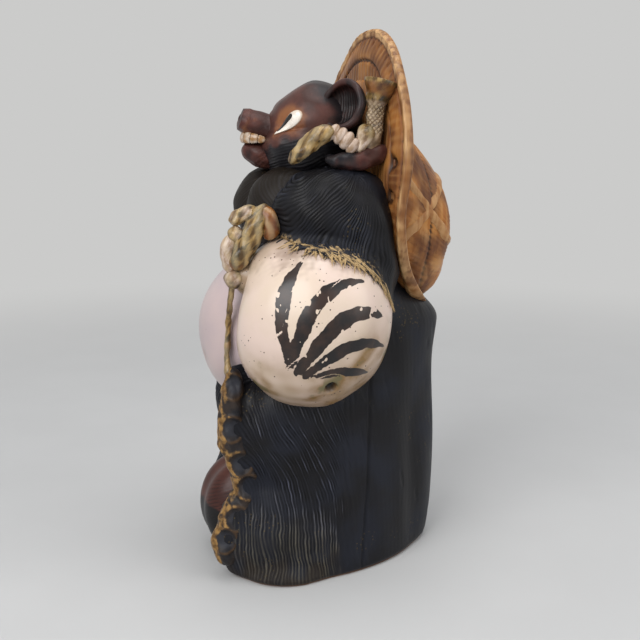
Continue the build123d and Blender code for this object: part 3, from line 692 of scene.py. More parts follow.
def coat_half(side):
    heights = np.concatenate([np.linspace(0, 128, 156), np.linspace(129.5, 216, 50), np.linspace(219, 283, 22)])
    turns = np.concatenate([np.linspace(-0.01, 1.9, 314), np.linspace(1.914, pi + 0.01, 90)])
    z, turn = np.meshgrid(heights, turns, indexing="ij")
    origin = np.stack([np.zeros_like(z), np.full_like(z, -5.0), z], -1)
    ways = np.stack([side * np.sin(turn), -np.cos(turn), np.zeros_like(z)], -1)
    outer = pushed(origin, ways, leaving(coat_clay, origin, ways, 130.0) - 2.2 * rise(z, 5.0, 0.0) ** 2)
    normal = facing(outer, (0, -5, 120), closed=False)
    slant = 0.04 * z + 0.42 * 8.0 * np.log1p(np.exp((z - 62) / 8.0))
    front = rise(turn - 0.0012 * (z - 60) + 0.05 * wobble(outer, 22.0, 39), 1.66, 1.42)
    ridge = combed(turn * COAT_GIRTH + slant, outer, 2.0, 11) * front
    ridge += combed(turn * COAT_GIRTH + 0.1 * z, outer, 4.6, 31) * (1 - front)
    drawn_out = outer * (1, 1, 0.16) + 0.22 * outer[..., 2:3] * (0, 1, 0)
    scraped = rise(wobble(drawn_out, 9.0, 37), 0.7, 1.1) * (1 - front)
    by_hem = rise(np.minimum(hem_gap(outer, HEM_LEFT), hem_gap(outer, HEM_RIGHT)), -2.0, 5.0)
    deep = (1.3 * front + 0.12 * (1 - front)) * (0.15 + 0.85 * by_hem)
    facet = 0.5 * wobble(outer * (1, 1, 0.35), 34.0, 5)
    mould_seam = bell((turn - 1.82) * COAT_GIRTH - 0.06 * (z - 60), 1.3)
    cut = facet - deep * (1 - ridge) - 0.8 * mould_seam - 0.35 * scraped
    outer = pushed(outer, normal, cut * rise(z, 1.0, 8.0))
    outer[..., 2] = np.maximum(outer[..., 2], 0.0)

    back = np.linspace(pi, 0, HOLLOW_COLUMNS)[None, :]
    middle, half, fore, aft = body_level(heights)[..., None]
    reach = np.where(np.cos(back) > 0, fore, aft) - WALL
    hollow = np.stack([side * (half - WALL) * np.sin(back), middle - reach * np.cos(back),
                       heights[:, None] + 0 * back], -1)

    ridge = ridge * front + (0.42 + 0.1 * ridge + 0.14 * scraped) * (1 - front)
    ridge = 0.35 + (ridge - 0.35) * (0.3 + 0.7 * by_hem)
    # Low on the front the relief value is raised by up to 0.17 with no rise in the clay, so the ridges break paler
    # blue-grey: a painted sheen.
    relief = clipped(0.06 + 0.85 * ridge - 0.15 * mould_seam + 0.17 * rise(z, 66, 34) * front)
    ashy = 0.5 * rise(z + 9 * wobble(outer, 18.0, 38), 24, 3) * front
    values = {"relief": (relief, 0.5), "inside": (rise(z, 1.5, 0.2), 1.0), "stain": (ashy, 0.0)}
    return np.concatenate([outer, hollow], 1), {
        label: np.concatenate([on_skin, np.full(hollow.shape[:2], in_hollow)], 1)
        for label, (on_skin, in_hollow) in values.items()}


for side, name, nodes in ((1, "coat_left_half", ("body_front_shell", "left_leg", "left_coat_flap")),
                          (-1, "coat_right_half", ("body_rear_shell", "right_leg", "right_coat_flap"))):
    rings, values = coat_half(side)
    sewn(name, rings, coat_glaze, *nodes, **values)

# %% [markdown]
# The tail lies flat on the back as a broad tongue from the floor to the waist. It takes long upright
# strokes of a wooden tool, wider and shallower than the comb.

# %% Tail
def tail_clay(p):
    return np.maximum(lump(p, *TAIL), 0.2 - p[..., 2])


points, normal = clay_ball(tail_clay, (0, 66, 60), (0, 1, 0), 100, 180)
x, y, z = axes(points)
strokes = combed(x + 0.12 * z, points, 4.4, 51)
points = pushed(points, normal, -0.55 * (1 - strokes) * rise(z, 0.5, 6.0))
points[..., 2] = np.maximum(points[..., 2], 0.15)
sewn("tail_relief", points, coat_glaze, "tail", relief=0.2 + 0.7 * strokes)

# %% [markdown]
# The belly is the smoothest part, rubbed with a wet sponge so that the pale glaze lies evenly. Only slow
# unevenness of a hand-pressed wall is left, with a small navel.

# %% Belly
BELLY_CENTRE, BELLY_HALVES, NAVEL_Z = (0, -43.5, 166), (54, 46, 56), 150
points, normal = clay_ball(lambda p: lump(p, BELLY_CENTRE, BELLY_HALVES), BELLY_CENTRE, (0, -1, 0), 110, 160)
x, y, z = axes(points)
navel = bell(np.hypot(x, z - NAVEL_Z), 4.5) * (y < BELLY_CENTRE[1])
points = pushed(points, normal, 0.5 * wobble(points, 50.0, 61) - 0.9 * navel)
low_blush = 0.3 * rise(points[..., 2] + 4 * wobble(points, 20.0, 62), 132, 112)
sewn("belly_skin", points, belly_glaze, "belly_dome", relief=0.5 - 0.5 * navel,
     edge=clipped(0.3 * navel + low_blush))

# %% [markdown]
# The pouch hangs between the legs: a heavy lobe with a crease down the middle and short folds at its
# sides, turning black towards the foot.

# %% Pouch
def pouch_clay(p):
    return np.maximum(twin_lumps(p, (9, -60.0, 35), (22, 31.5, 36.5), 6.0), 0.3 - p[..., 2])


points, normal = clay_ball(pouch_clay, (0, -60.0, 35), (0, -1, 0), 110, 170)
x, y, z = axes(points)
folds = combed(z * 0.9 - np.abs(x) * 0.5, points, 2.6, 71)
creased = (1 - folds) * rise(np.abs(x), 5, 16) * rise(z, 18, 30)
points = pushed(points, normal, -0.5 * creased)
points[..., 2] = np.maximum(points[..., 2], 0.2)
x, y, z = axes(points)
# Low down the pouch turns black, reaching higher at the front.
black_towards_foot = rise(z + 0.25 * y + 2.5 * wobble(points, 14.0, 73), 21.0, 17.0)
sewn("pouch_skin", points, pouch_glaze, "money_pouch", relief=1 - creased, tone=black_towards_foot)

# %% [markdown]
# Rope, cords and hems are rolls of clay. A roll follows a smooth line through a few stations, each with
# its own thickness, and its ends close like fingertips. The frame that carries the ring of points along
# the line is turned as little as possible, so strands and thumb marks stay where they are put.

# %% Roll helper
def smooth_line(stations, rows):
    """Points and radii on a smooth curve through the stations."""
    s = np.array(stations, float)
    s = np.vstack([2 * s[0] - s[1], s, 2 * s[-1] - s[-2]])
    t = np.linspace(0, len(s) - 3, rows)
    i = np.minimum(t.astype(int), len(s) - 4)
    f = (t - i)[:, None]
    a, b, c, d = s[i], s[i + 1], s[i + 2], s[i + 3]
    return 0.5 * (2 * b + (c - a) * f + (2 * a - 5 * b + 4 * c - d) * f**2 + (3 * b - a - 3 * c + d) * f**3)


def roll(stations, rows, columns, first_side=(1.0, 0.0, 0.0), flat=1.0, round_ends=True):
    """Rings along a roll, the distance along it, the angle round it and the outward way at each point."""
    line = smooth_line(stations, rows)
    centre, radius = line[:, :3], line[:, 3]
    ahead = unit(np.gradient(centre, axis=0))
    along = np.concatenate([[0], np.cumsum(np.linalg.norm(np.diff(centre, axis=0), axis=1))])
    if round_ends:
        left = clipped(np.minimum(along, along[-1] - along) / radius)
        radius = radius * np.sqrt(np.clip(1 - (1 - left) ** 2, 0.002, 1))
    side, sides = np.asarray(first_side, float), []
    for way in ahead:
        side = unit(side - (side @ way) * way)
        sides.append(side)
    sides = np.array(sides)
    other = np.cross(ahead, sides)
    angle = np.linspace(-pi, pi, columns, endpoint=False)
    ring = np.cos(angle)[None, :, None] * sides[:, None] + flat * np.sin(angle)[None, :, None] * other[:, None]
    rings = centre[:, None] + radius[:, None, None] * ring
    return rings, along[:, None] + 0 * angle, angle + 0 * along[:, None], ring


def stranded(along, angle, strands, lay):
    """Rope strands: 1 on a strand's back and 0 in the groove between two."""
    return np.abs(np.cos(strands * angle / 2 + along * pi / lay)) ** 0.7


print("roll helper ready")

# %% [markdown]
# The coat's hem is a strip that was pressed with the thumb all the way down, so it waves and carries a row
# of shallow hollows. Dark glaze pooled in them, and along the outer edge it ran off and left ochre ash.
# Each hollow is a place on the strip, so they can be set one by one, unevenly, as a thumb does.

# %% Coat hems
THUMB_RADIUS, THUMB_DEPTH = 8.4, 2.4
THUMBS_LEFT = [(56, -78, 139), (56, -80.5, 110), (56, -75, 85), (56, -69.5, 68), (56, -78, 46), (56, -87, 31)]
THUMBS_RIGHT = [(-75, right_hem_y(z), z) for z in (116, 94, 75, 52, 31)]


def hem(name, stations, thumbs, outward, solid):
    rings, _, _, ring = roll(stations, 260, 84, first_side=(outward, 0, 0), flat=0.95)
    rings = pushed(rings, ring, 0.8 * wobble(rings, 15.0, 81) + 0.35 * wobble(rings, 5.0, 83))
    away = np.array([np.linalg.norm((rings - np.array(thumb)) / (1.5, 1, 1), axis=-1) for thumb in thumbs])
    nearest, apart = np.array(thumbs)[away.argmin(0)], away.min(0)
    press = np.array([0.9 * outward, -0.44, 0.0])
    open_side = rise(ring @ press, -0.1, 0.4)
    hollow = rise(apart, THUMB_RADIUS, 1.5) * open_side
    lip = bell(apart - THUMB_RADIUS - 0.6, 1.5) * open_side
    rings = pushed(rings, press, 0.8 * lip - THUMB_DEPTH * hollow)
    rings[..., 2] = np.maximum(rings[..., 2], 0.3)
    forward = rise(-ring[..., 1], 0.45, 0.95)
    ahead = rise(nearest[..., 1] - rings[..., 1], -3.0, 4.0)
    worn = forward * (0.7 + 0.45 * wobble(rings, 9.0, 82)) + 0.5 * lip * ahead
    sewn(name, rings, border_glaze, solid, relief=clipped(0.5 + 0.3 * lip - 0.5 * hollow),
         edge=clipped(worn - 0.9 * hollow))


hem("hem_left", HEM_LEFT, THUMBS_LEFT, 1.0, "left_coat_border")
hem("hem_right", HEM_RIGHT, THUMBS_RIGHT, -1.0, "right_coat_border")

# %% [markdown]
# The hat is needed before the arms and head, because both are pressed against it. It is a straw disc:
# upright behind the head and bent back under the crown. Its sheet is written as the y of its front and
# back at each height.

# %% Hat sheet
HAT_Z, HAT_HALF_WIDTH, HAT_HALF_HEIGHT = 279.5, 87.0, 99.5
BEND_Z, BEND_RADIUS, BEND_DROP = 259.5, 95.0, 85.0
SHEET, SHEET_FRONT, SHEET_TOP, LEAN = 9.0, 24.0, 388.0, 8.0


def sheet_at(z, inset):
    """The y of the sheet, an inset behind its front, at a height."""
    upper = SHEET_FRONT + LEAN * (z - BEND_Z) / (SHEET_TOP - BEND_Z) + inset
    drop = np.clip(BEND_Z - z, 0, BEND_DROP)
    lower = SHEET_FRONT + BEND_RADIUS - np.sqrt((BEND_RADIUS - inset) ** 2 - drop**2)
    return np.where(z > BEND_Z, upper, lower)


def sheet_front(z):
    return sheet_at(z, 0.0)


def sheet_back(z):
    return sheet_at(z, SHEET)


def before_sheet(clay, p):
    """Clay that ends where it is pressed 1 mm into the hat."""
    return np.maximum(clay, p[..., 1] - sheet_front(p[..., 2]) - 1.0)


print("hat sheet front at the top", round(float(sheet_front(np.array(379.0))), 1))

# %% [markdown]
# The flask is an egg of pale clay slung under the left arm. Its glaze carries a painted spray of grass
# blades: each blade is a bent line with a swelling width, and the paint is chipped where the glaze
# crawled. The mark is kept on the points as "brush", so it bends with the surface as brushwork does.

# %% Flask
FLASK_CENTRE, FLASK_HALVES, FLASK_TILT = np.array([61.8, -24.0, 180.0]), (46, 52, 57), radians(25.0)
VENT = (-24.0, 144.0)
LOBE_CENTRE, LOBE_RADIUS = (49.8, -41.0, 213.0), 24.0
BLADES = [  # start, bend and end as (y, z) on the tilted flask, and the widest place
    ((-20, -27), (-46, 8), (-33, 33), 6.5), ((-17, -30), (-31, 26), (6, 38), 8.5),
    ((-11, -31), (-8, 26), (31, 23), 9.5), ((-5, -31), (8, 8), (39, 5), 8.0), ((-1, -30), (18, -16), (36, -14), 5.5)]


def pitched(p, angle):
    """Points turned about the X axis."""
    x, y, z = axes(p)
    return np.stack([x, y * cos(angle) - z * sin(angle), y * sin(angle) + z * cos(angle)], -1)


def flask_local(p):
    return pitched(p - FLASK_CENTRE, FLASK_TILT)


def flask_clay(p):
    return melted(lump(flask_local(p), (0, 0, 0), FLASK_HALVES), lump(p, LOBE_CENTRE, [LOBE_RADIUS] * 3), 9.0)


def blade_paint(y, z):
    """How deep a point lies inside the nearest blade, in millimetres."""
    deepest = np.full(y.shape, -99.0)
    for start, bend, end, width in BLADES:
        for t in np.linspace(0, 1, 48):
            at_y, at_z = ((1 - t) ** 2 * s + 2 * t * (1 - t) * b + t**2 * e for s, b, e in zip(start, bend, end))
            half = 0.5 * width * sin(pi * min(1.0, 0.12 + 0.88 * t)) ** 0.7 + 0.4
            deepest = np.maximum(deepest, half - np.hypot(y - at_y, z - at_z))
    return deepest


points, normal = clay_ball(flask_clay, FLASK_CENTRE, (1, 0, 0), 240, 330)
x, y, z = axes(points)
local_x, local_y, local_z = axes(flask_local(points))
outer = rise(local_x, -5, 8)
ragged = 0.25 * wobble(points, 4.5, 91) + 0.6 * wobble(points, 12.0, 92)
chips = clipped(wobble(points, 8.5, 93) + 0.5 * wobble(points, 4.0, 94) - 0.95) * 9.0
cracks = 3.0 * rise(np.abs(wobble(points, 38.0, 95)), 0.05, 0.015)
brush = clipped(0.5 + 0.25 * (blade_paint(local_y, local_z) + ragged - chips - cracks)) * outer
# The vent is only a shallow dimple; it is painted near-black through "inside" as the shade of a hole.
vent = rise(np.hypot(y - VENT[0], z - VENT[1]), 4.4, 3.0) * outer
low = 0.8 * rise(local_z - 0.4 * local_y, -6, -44) + rise(local_y, 2, 30) * rise(local_z, 30, -8)
on_lobe = rise(np.linalg.norm(points - np.array(LOBE_CENTRE), axis=-1), 27, 23)
stain = clipped(low * (0.9 + 0.3 * wobble(points, 16.0, 96)) + 0.45 * on_lobe)
ashy = rise(z + 3 * wobble(points, 5.0, 97) + 4 * wobble(points, 16.0, 98), 216, 236) * (1 - 0.7 * on_lobe)
points = pushed(points, normal, 0.7 * wobble(points, 40.0, 99) - 5.0 * vent)
sewn("flask_skin", points, flask_glaze, "flask_body", brush=brush, inside=vent, stain=stain, edge=0.55 * ashy)

# %% [markdown]
# Arms and chest are combed lumps. On the left arm the strokes fan out from the top of the shoulder; the
# fan is just the angle round a point above it. Where the arm ends on the flask, its black glaze thins
# to ochre, which the value "edge" marks by the distance to the flask.

# %% Arms and chest
ARM_CENTRE, ARM_HALVES = np.array([45.4, -5.0, 250.0]), (35, 44, 35)
BACK_CENTRE, BACK_HALVES = np.array([45.4, 10.0, 222.0]), (35, 31, 52)
SHOULDER = (16.0, 290.0)
ARM_EDGE_Y = (-60, -44, -38, -32, -22, -11, 0.5, 7.6, 14, 20, 30)
ARM_EDGE_Z = (246, 241, 233, 231, 229, 226, 221, 215.5, 208.5, 200, 184)
ELBOW, PAW, PAW_RADIUS = (-54.4, -19.5, 232.5), (-50, -43.4, 188), 16.5


def upper_arm_clay(p, side):
    arm, back = (lump(p, centre * (side, 1, 1), halves) for centre, halves in
                 ((ARM_CENTRE, ARM_HALVES), (BACK_CENTRE, BACK_HALVES)))
    return before_sheet(melted(arm, back, 12.0), p)


def arm_edge(y):
    """Height of the arm's lower edge where it lies over the flask."""
    return np.interp(y, ARM_EDGE_Y, ARM_EDGE_Z)


def left_arm_clay(p):
    sleeve = np.maximum(flask_clay(p) - 1.5, 0.8 * (arm_edge(p[..., 1]) - p[..., 2]))
    return melted(upper_arm_clay(p, 1), before_sheet(sleeve, p), 7.0)


def right_arm_clay(p):
    arm = melted(upper_arm_clay(p, -1), limb(p, ELBOW, PAW, 17, 15), 8.0)
    return melted(arm, lump(p, PAW, [PAW_RADIUS] * 3), 4.0)


def chest_clay(p):
    return twin_lumps(p, (19, -26, 254), (29, 33.5, 31), 7.0)


def fanned(points, seed, pitch):
    fan = np.arctan2(points[..., 1] - SHOULDER[0], SHOULDER[1] - points[..., 2])
    return combed(fan * 52.0 + 3.5 * wobble(points, 40.0, seed + 7), points, pitch, seed)


points, normal = clay_ball(left_arm_clay, (45, 0, 240), (1, 0, 0), 240, 400)
x, y, z = axes(points)
ridge = fanned(points, 101, 2.1)
worked = rise(y - 0.25 * (250 - z), 22, 8)
shade = 0.06 + 0.72 * (0.4 + (ridge - 0.4) * worked)
above_edge = z - arm_edge(y) + 3.0 * wobble(points, 6.0, 105)
on_flask = rise(flask_clay(points), 7.0, 2.0) * (x > 45)
lumpy = 0.9 * wobble(points, 30.0, 104) * (1 - on_flask)
deep = 1.15 - 0.75 * on_flask * rise(above_edge, 9.0, 3.0)
points = pushed(points, normal, lumpy - deep * (1 - ridge) * worked)
sewn("arm_left_fur", points, coat_glaze, "left_arm", relief=shade,
     edge=0.55 * rise(above_edge, 8.0, 0.5) * on_flask)

points, normal = clay_ball(right_arm_clay, (-48, -12, 234), (-1, 0, 0.2), 170, 240)
x, y, z = axes(points)
on_paw = rise(np.linalg.norm(points - np.array(PAW), axis=-1), 20, 15)
fingers = combed(x + 0.4 * z, points, 9.0, 114)
ridge = fanned(points, 111, 2.5) * (1 - on_paw) + on_paw * (1 - (1 - fingers) * rise(z, 192, 184))
points = pushed(points, normal, -(0.8 + 0.9 * on_paw) * (1 - ridge))
sewn("arm_right_fur", points, coat_glaze, "right_arm", relief=0.08 + 0.72 * ridge)

points, normal = clay_ball(chest_clay, (0, -26, 254), (0, -1, 0), 150, 240)
x, y, z = axes(points)
ridge = combed(z * 0.75 + np.abs(x) * 0.9, points, 2.2, 121)
points = pushed(points, normal, 0.6 * wobble(points, 26.0, 124) - 0.5 * (1 - ridge))
sewn("chest_fur", points, coat_glaze, "chest_ruff", relief=0.05 + 0.38 * ridge, stain=0.4)

# %% [markdown]
# Small pieces that repeat come from one Geometry Nodes tree: it puts a tapered bead on every point it is
# given, aimed along the point's stored direction. The tree makes the tufts at the arm's hem and the turns
# of rope. Copying beads by hand would work, but here a count or a size is one input.

# %% Bead tree
def make_bead_tree():
    tree = bpy.data.node_groups.new("beads_on_points", "GeometryNodeTree")
    for label, kind, value in (("Geometry", "Geometry", None), ("Width", "Float", 0.003), ("Length", "Float", 0.006),
                               ("Taper", "Float", 0.3), ("Uneven", "Float", 0.15), ("Seed", "Int", 1),
                               ("Material", "Material", None)):
        socket = tree.interface.new_socket(label, in_out="INPUT", socket_type="NodeSocket" + kind)
        if value is not None:
            socket.default_value = value
    tree.interface.new_socket("Geometry", in_out="OUTPUT", socket_type="NodeSocketGeometry")
    into, out = tree.nodes.new("NodeGroupInput").outputs, tree.nodes.new("NodeGroupOutput")
    n = Nodes(tree)
    bead = n.add("GeometryNodeMeshUVSphere", Segments=12, Rings=8, Radius=1.0).outputs["Mesh"]
    place = n.add("GeometryNodeInputPosition").outputs["Position"]
    split = n.add("ShaderNodeSeparateXYZ", Vector=place).outputs
    height = n.plus(n.times(split["Z"], 0.5), 0.5)
    shrink = n.math("SUBTRACT", 1.0, n.times(height, into["Taper"]))
    moved = n.add("ShaderNodeCombineXYZ", X=n.times(split["X"], shrink), Y=n.times(split["Y"], shrink), Z=split["Z"])
    tapered = n.add("GeometryNodeSetPosition", Geometry=bead, Position=moved.outputs["Vector"])
    aim = n.add("GeometryNodeInputNamedAttribute", {"data_type": "FLOAT_VECTOR"}, Name="aim")
    turn = n.add("FunctionNodeAlignRotationToVector", {"axis": "Z"}, Vector=aim.outputs["Attribute"])
    least, most = n.math("SUBTRACT", 1.0, into["Uneven"]), n.plus(1.0, into["Uneven"])
    chance = n.add("FunctionNodeRandomValue", {"data_type": "FLOAT"}, {2: least, 3: most},
                   Seed=into["Seed"]).outputs[1]
    width, length = n.times(into["Width"], chance), n.times(into["Length"], chance)
    size = n.add("ShaderNodeCombineXYZ", X=width, Y=width, Z=length)
    dots = n.add("GeometryNodeMeshToPoints", Mesh=into["Geometry"])
    copies = n.add("GeometryNodeInstanceOnPoints", Points=dots.outputs["Points"],
                   Instance=tapered.outputs["Geometry"], Rotation=turn.outputs["Rotation"],
                   Scale=size.outputs["Vector"])
    real = n.add("GeometryNodeRealizeInstances", Geometry=copies.outputs["Instances"])
    smooth = n.add("GeometryNodeSetShadeSmooth", Geometry=real.outputs["Geometry"])
    dressed = n.add("GeometryNodeSetMaterial", Geometry=smooth.outputs["Geometry"], Material=into["Material"])
    n.feed(out.inputs["Geometry"], dressed.outputs["Geometry"])
    return tree


BEADS = make_bead_tree()


def beaded(name, places, aims, material, nodes, sizes, values):
    """A plain mesh of beads at the places, aimed along the aims."""
    seed_mesh = bpy.data.meshes.new(name + "_points")
    seed_mesh.from_pydata((np.asarray(places) * MM).tolist(), [], [])
    layer = seed_mesh.attributes.new("aim", "FLOAT_VECTOR", "POINT")
    layer.data.foreach_set("vector", np.asarray(aims, np.float32).ravel())
    marked(seed_mesh, (len(places),), values)
    source = bpy.data.objects.new(name + "_points", seed_mesh)
    scene.collection.objects.link(source)
    modifier = source.modifiers.new("beads", "NODES")
    modifier.node_group = BEADS
    wanted = dict(sizes, Material=material)
    for item in BEADS.interface.items_tree:
        if item.item_type == "SOCKET" and item.in_out == "INPUT" and item.name in wanted:
            modifier[item.identifier] = wanted[item.name]
    shown = source.evaluated_get(bpy.context.evaluated_depsgraph_get())
    mesh = bpy.data.meshes.new_from_object(shown)
    source.modifiers.remove(modifier)
    bpy.data.objects.remove(source)
    mesh.name = name
    settled(name, mesh, nodes)


print("bead tree inputs", [i.name for i in BEADS.interface.items_tree if i.in_out == "INPUT"])

# %% [markdown]
# The arm's lower edge lies on the flask as a fringe of short tufts, pulled out with a needle. The tufts
# stand where the arm meets the flask and point down along the flask's skin.

# %% Arm fringe
EDGE_STEPS = 240


def flask_normal(p):
    return unit(pitched(flask_local(p) / np.square(FLASK_HALVES), -FLASK_TILT))


edge_y = np.linspace(-41.0, 21.0, EDGE_STEPS)
edge_line = np.stack([np.full(EDGE_STEPS, 50.0), edge_y, arm_edge(edge_y) + 1.0], -1)
edge_line[:, 0] += leaving(flask_clay, edge_line, np.tile((1.0, 0.0, 0.0), (EDGE_STEPS, 1)), 70.0)


def fringe(name, count, fall, length, edge, seed):
    roots = edge_line[np.linspace(0, EDGE_STEPS - 1, count).astype(int)]
    out_of_flask = flask_normal(roots)
    sway = 0.8 * wobble(roots, 4.0, seed)[:, None] * (0.0, 1.0, 0.0) + (0.0, 0.25, -1.0)
    down = unit(sway - np.einsum("ij,ij->i", sway, out_of_flask)[:, None] * out_of_flask)
    beaded(name, roots + down * fall + out_of_flask * 0.5, down, coat_glaze, (),
           {"Width": 0.0012, "Length": length, "Taper": 0.9, "Uneven": 0.45, "Seed": seed},
           {"edge": edge, "relief": 0.6})


fringe("arm_fringe_long", 90, 3.2, 0.0086, 1.0, 5)
fringe("arm_fringe_mid", 90, 1.6, 0.008, 0.66, 6)
fringe("arm_fringe_short", 190, -1.0, 0.0075, 0.35, 9)

# %% [markdown]
# The head has its own axes: it is tilted back and turned a little, and the face looks along its -Y. All
# face pieces are written in those axes and moved by one function, so the head can be turned in one place.

# %% Head axes
HEAD_CENTRE, HEAD_TILT, HEAD_TURN = np.array([0.0, -4.0, 310.0]), radians(-18.0), radians(-10.0)
HEAD_AXES = (np.array([[cos(HEAD_TURN), -sin(HEAD_TURN), 0], [sin(HEAD_TURN), cos(HEAD_TURN), 0], [0, 0, 1]])
             @ np.array([[1, 0, 0], [0, cos(HEAD_TILT), -sin(HEAD_TILT)], [0, sin(HEAD_TILT), cos(HEAD_TILT)]]))
SKULL = np.array([41.0, 35.0, 33.0])
MUZZLE_Z, MUZZLE_ROOT, MUZZLE_TIP, MUZZLE_HALF = -12.5, -17.5, -52.0, (14.0, 10.5)


def out_of_head(q):
    """Places in the head's axes as places in the frame."""
    return q @ HEAD_AXES.T + HEAD_CENTRE


def in_head(p):
    return (p - HEAD_CENTRE) @ HEAD_AXES


def head_clay(q):
    """The head in its own axes: a skull with a sloping brow, jowls and cheeks melted together."""
    brow = q @ np.array([0.0, -0.832, 0.555]) - 30.3
    clay = -melted(-lump(q, (0, 0, 0), SKULL), -brow, 5.0)
    clay = melted(clay, lump(q, (0, 0, -21), (43, 34, 22)), 9.0)
    for side in (1, -1):
        clay = melted(clay, lump(q, (side * 25, -19, -19), (13, 11, 9)), 7.0)
    return clay


print("muzzle tip at", np.round(out_of_head(np.array([0.0, MUZZLE_TIP, MUZZLE_Z])), 1))

# %% [markdown]
# The eyes are flat drops of white clay on the skull, round behind and drawn to a point at the nose, with
# a dark slit along the upper edge. To lie on the head, each point of the drop is dropped onto the skull
# along the eye's own outward direction.

# %% Eyes
EYE_LENGTH, EYE_WIDTH, EYE_SUNK = 11.4, 6.9, 14.0
EYE_TURN, EYE_DROP, EYE_SLANT = radians(52.0), radians(8.0), radians(55.0)
EYE_FACE_ROWS, EYE_BACK_ROWS = 34, 8


def eye_axes(side):
    turn = EYE_TURN * side
    seat = SKULL * (sin(turn) * cos(EYE_DROP), -cos(turn) * cos(EYE_DROP), -sin(EYE_DROP))
    outward = unit(seat / SKULL**2)
    backward = unit(np.cross((0.0, 0.0, 1.0), outward) * side)
    upward = np.cross(outward, backward) * side
    along = backward * cos(EYE_SLANT) + upward * sin(EYE_SLANT)
    fore = np.cross(outward, along)
    return seat, outward, along, fore if fore @ (0.0, -1.0, 1.0) > 0 else -fore


def eye(side, name, solid):
    seat, outward, along, fore = eye_axes(side)
    share = np.concatenate([np.linspace(0.02, 1, EYE_FACE_ROWS), np.linspace(1, 0.05, EYE_BACK_ROWS)])[:, None]
    front = (np.arange(len(share)) < EYE_FACE_ROWS)[:, None]
    angle = np.linspace(0, 2 * pi, 96, endpoint=False)[None, :]
    u = share * np.cos(angle) * EYE_LENGTH
    v = share * np.sin(angle) * (0.62 + 0.38 * np.cos(angle)) * EYE_WIDTH
    flat = seat + u[..., None] * along + v[..., None] * fore
    ways = np.broadcast_to(outward, flat.shape)
    ground = leaving(head_clay, flat - EYE_SUNK * outward, ways, 30.0) - EYE_SUNK
    lift = np.where(front, 0.3 + 1.5 * np.sqrt(clipped(1 - share**2)), -2.0)
    slit = np.hypot(np.clip(np.abs(u + 1.5) - 5.6, 0, 99), v - 2.2 - 0.1 * u)
    sewn(name, out_of_head(pushed(flat, outward, ground + lift)), white_glaze, solid,
         brush=rise(slit, 2.6, 1.2) * front, edge=0.6 * rise(share, 0.9, 1.0))
    return seat + outward


EYE_SEATS = [eye(1, "eye_left_drop", "left_eye"), eye(-1, "eye_right_drop", "right_eye")]

# %% [markdown]
# The head's skin is combed only on the cheeks and behind the jaw; brow and crown are smooth. Its glaze
# value runs to amber round the eyes and the root of the muzzle, brown over the face, black behind.

# %% Head
def head_in_row(p):
    return before_sheet(head_clay(in_head(p)), p)


points, normal = clay_ball(head_in_row, HEAD_CENTRE + (0, -4, -4), HEAD_AXES @ (0.0, 0.0, 1.0), 210, 300)
local = in_head(points)
x, y, z = axes(local)
cheek = rise(z - 0.69 * y + 3.0 * wobble(points, 14.0, 141), 0, -9)
ridge = combed(z * 0.82 - y * 0.57, points, 2.2, 142)
ridge = 1 - (1 - ridge) * clipped(cheek + 0.5 * rise(y, 4, 18))
to_eye = np.min([np.linalg.norm(local - seat, axis=-1) for seat in EYE_SEATS], axis=0)
crease = bell(z - 0.5 * y - 1.5, 1.1) * rise(y, -34, -28) * rise(y, -8, -16)
wrinkle = bell(y + 33 - 0.1 * z, 1.2) * rise(z, -2, 4)
amber = 0.8 * rise(to_eye, 17, 10) + 0.5 * rise(np.hypot(x / 15, (z + 10) / 13), 1.3, 0.8)
brown = 0.5 * rise(0.8 * z + 0.6 * y, 19, 5) * rise(y, 18, 4)
tone = clipped(brown + 0.42 * amber * rise(y, 0, -12)) * (1 - 0.95 * cheek)
dent = 0.9 * (1 - ridge) + 0.8 * crease + 0.5 * wrinkle - 0.4 * wobble(points, 20.0, 145)
sewn("head_skin", pushed(points, normal, -dent), face_glaze, "head_shell", slot="coat_glaze", tone=tone,
     relief=clipped(0.15 + 0.65 * ridge - 0.3 * crease))

# %% [markdown]
# The muzzle is a short blunt tube with a soft edge and a nearly flat end, made as rings along its length.
# Pressed nostrils and the lips' curl are shaped on the same rings, and its underside rises towards the tip,
# where the teeth show.

# %% Muzzle, nose and jaw
def nostrils(x, z, apart, height, wide, high):
    return sum(np.exp(-(((x - side * apart) / wide) ** 2 + ((z - MUZZLE_Z - height) / high) ** 2))
               for side in (1, -1))


along = np.concatenate([np.linspace(0, 0.86, 60), np.linspace(0.87, 1.0, 26), np.ones(22)])[:, None]
soft_edge = np.sqrt(1 - np.linspace(0, 0.94, 26) ** 2 * 0.16)
shrink = np.concatenate([np.ones(60), soft_edge, np.linspace(0.9, 0.02, 22)])[:, None]
angle = np.linspace(0, 2 * pi, 120, endpoint=False)[None, :]
girth = (1.3 - 0.3 * along) * shrink
x = MUZZLE_HALF[0] * girth * np.cos(angle)
y = MUZZLE_ROOT + (MUZZLE_TIP - MUZZLE_ROOT) * along - 1.6 * (1 - shrink**2) * (along >= 1)
z = MUZZLE_Z + MUZZLE_HALF[1] * girth * np.sin(angle) * (1 - 0.42 * along * (np.sin(angle) < 0))
local = np.stack([x, y + 0 * x, z], -1)
normal = facing(local, (0, -34, MUZZLE_Z))
at_end = rise(y + 0 * x, -49, -51.5)
nostril = nostrils(x, z, 4.2, 2.5, 1.7, 1.4) * at_end
ridge_line = bell(along - 0.88, 0.035) + 0 * x
folds = combed(y + 0.5 * z, local, 4.0, 151) * rise(y, -40, -30)
local = pushed(local, normal, 0.2 * ridge_line - 2.6 * nostril - 0.35 * folds + 0.35 * wobble(local, 9.0, 152))
lip = rise(z, MUZZLE_Z - 3, MUZZLE_Z - 10)
tone = 0.48 + 0.25 * lip + 0.08 * ridge_line - 0.1 * at_end + 0.1 * wobble(local, 12.0, 153)
sewn("muzzle_skin", out_of_head(local), face_glaze, "muzzle", tone=clipped(tone),
     relief=clipped(0.55 + 0.15 * ridge_line - 0.55 * nostril))

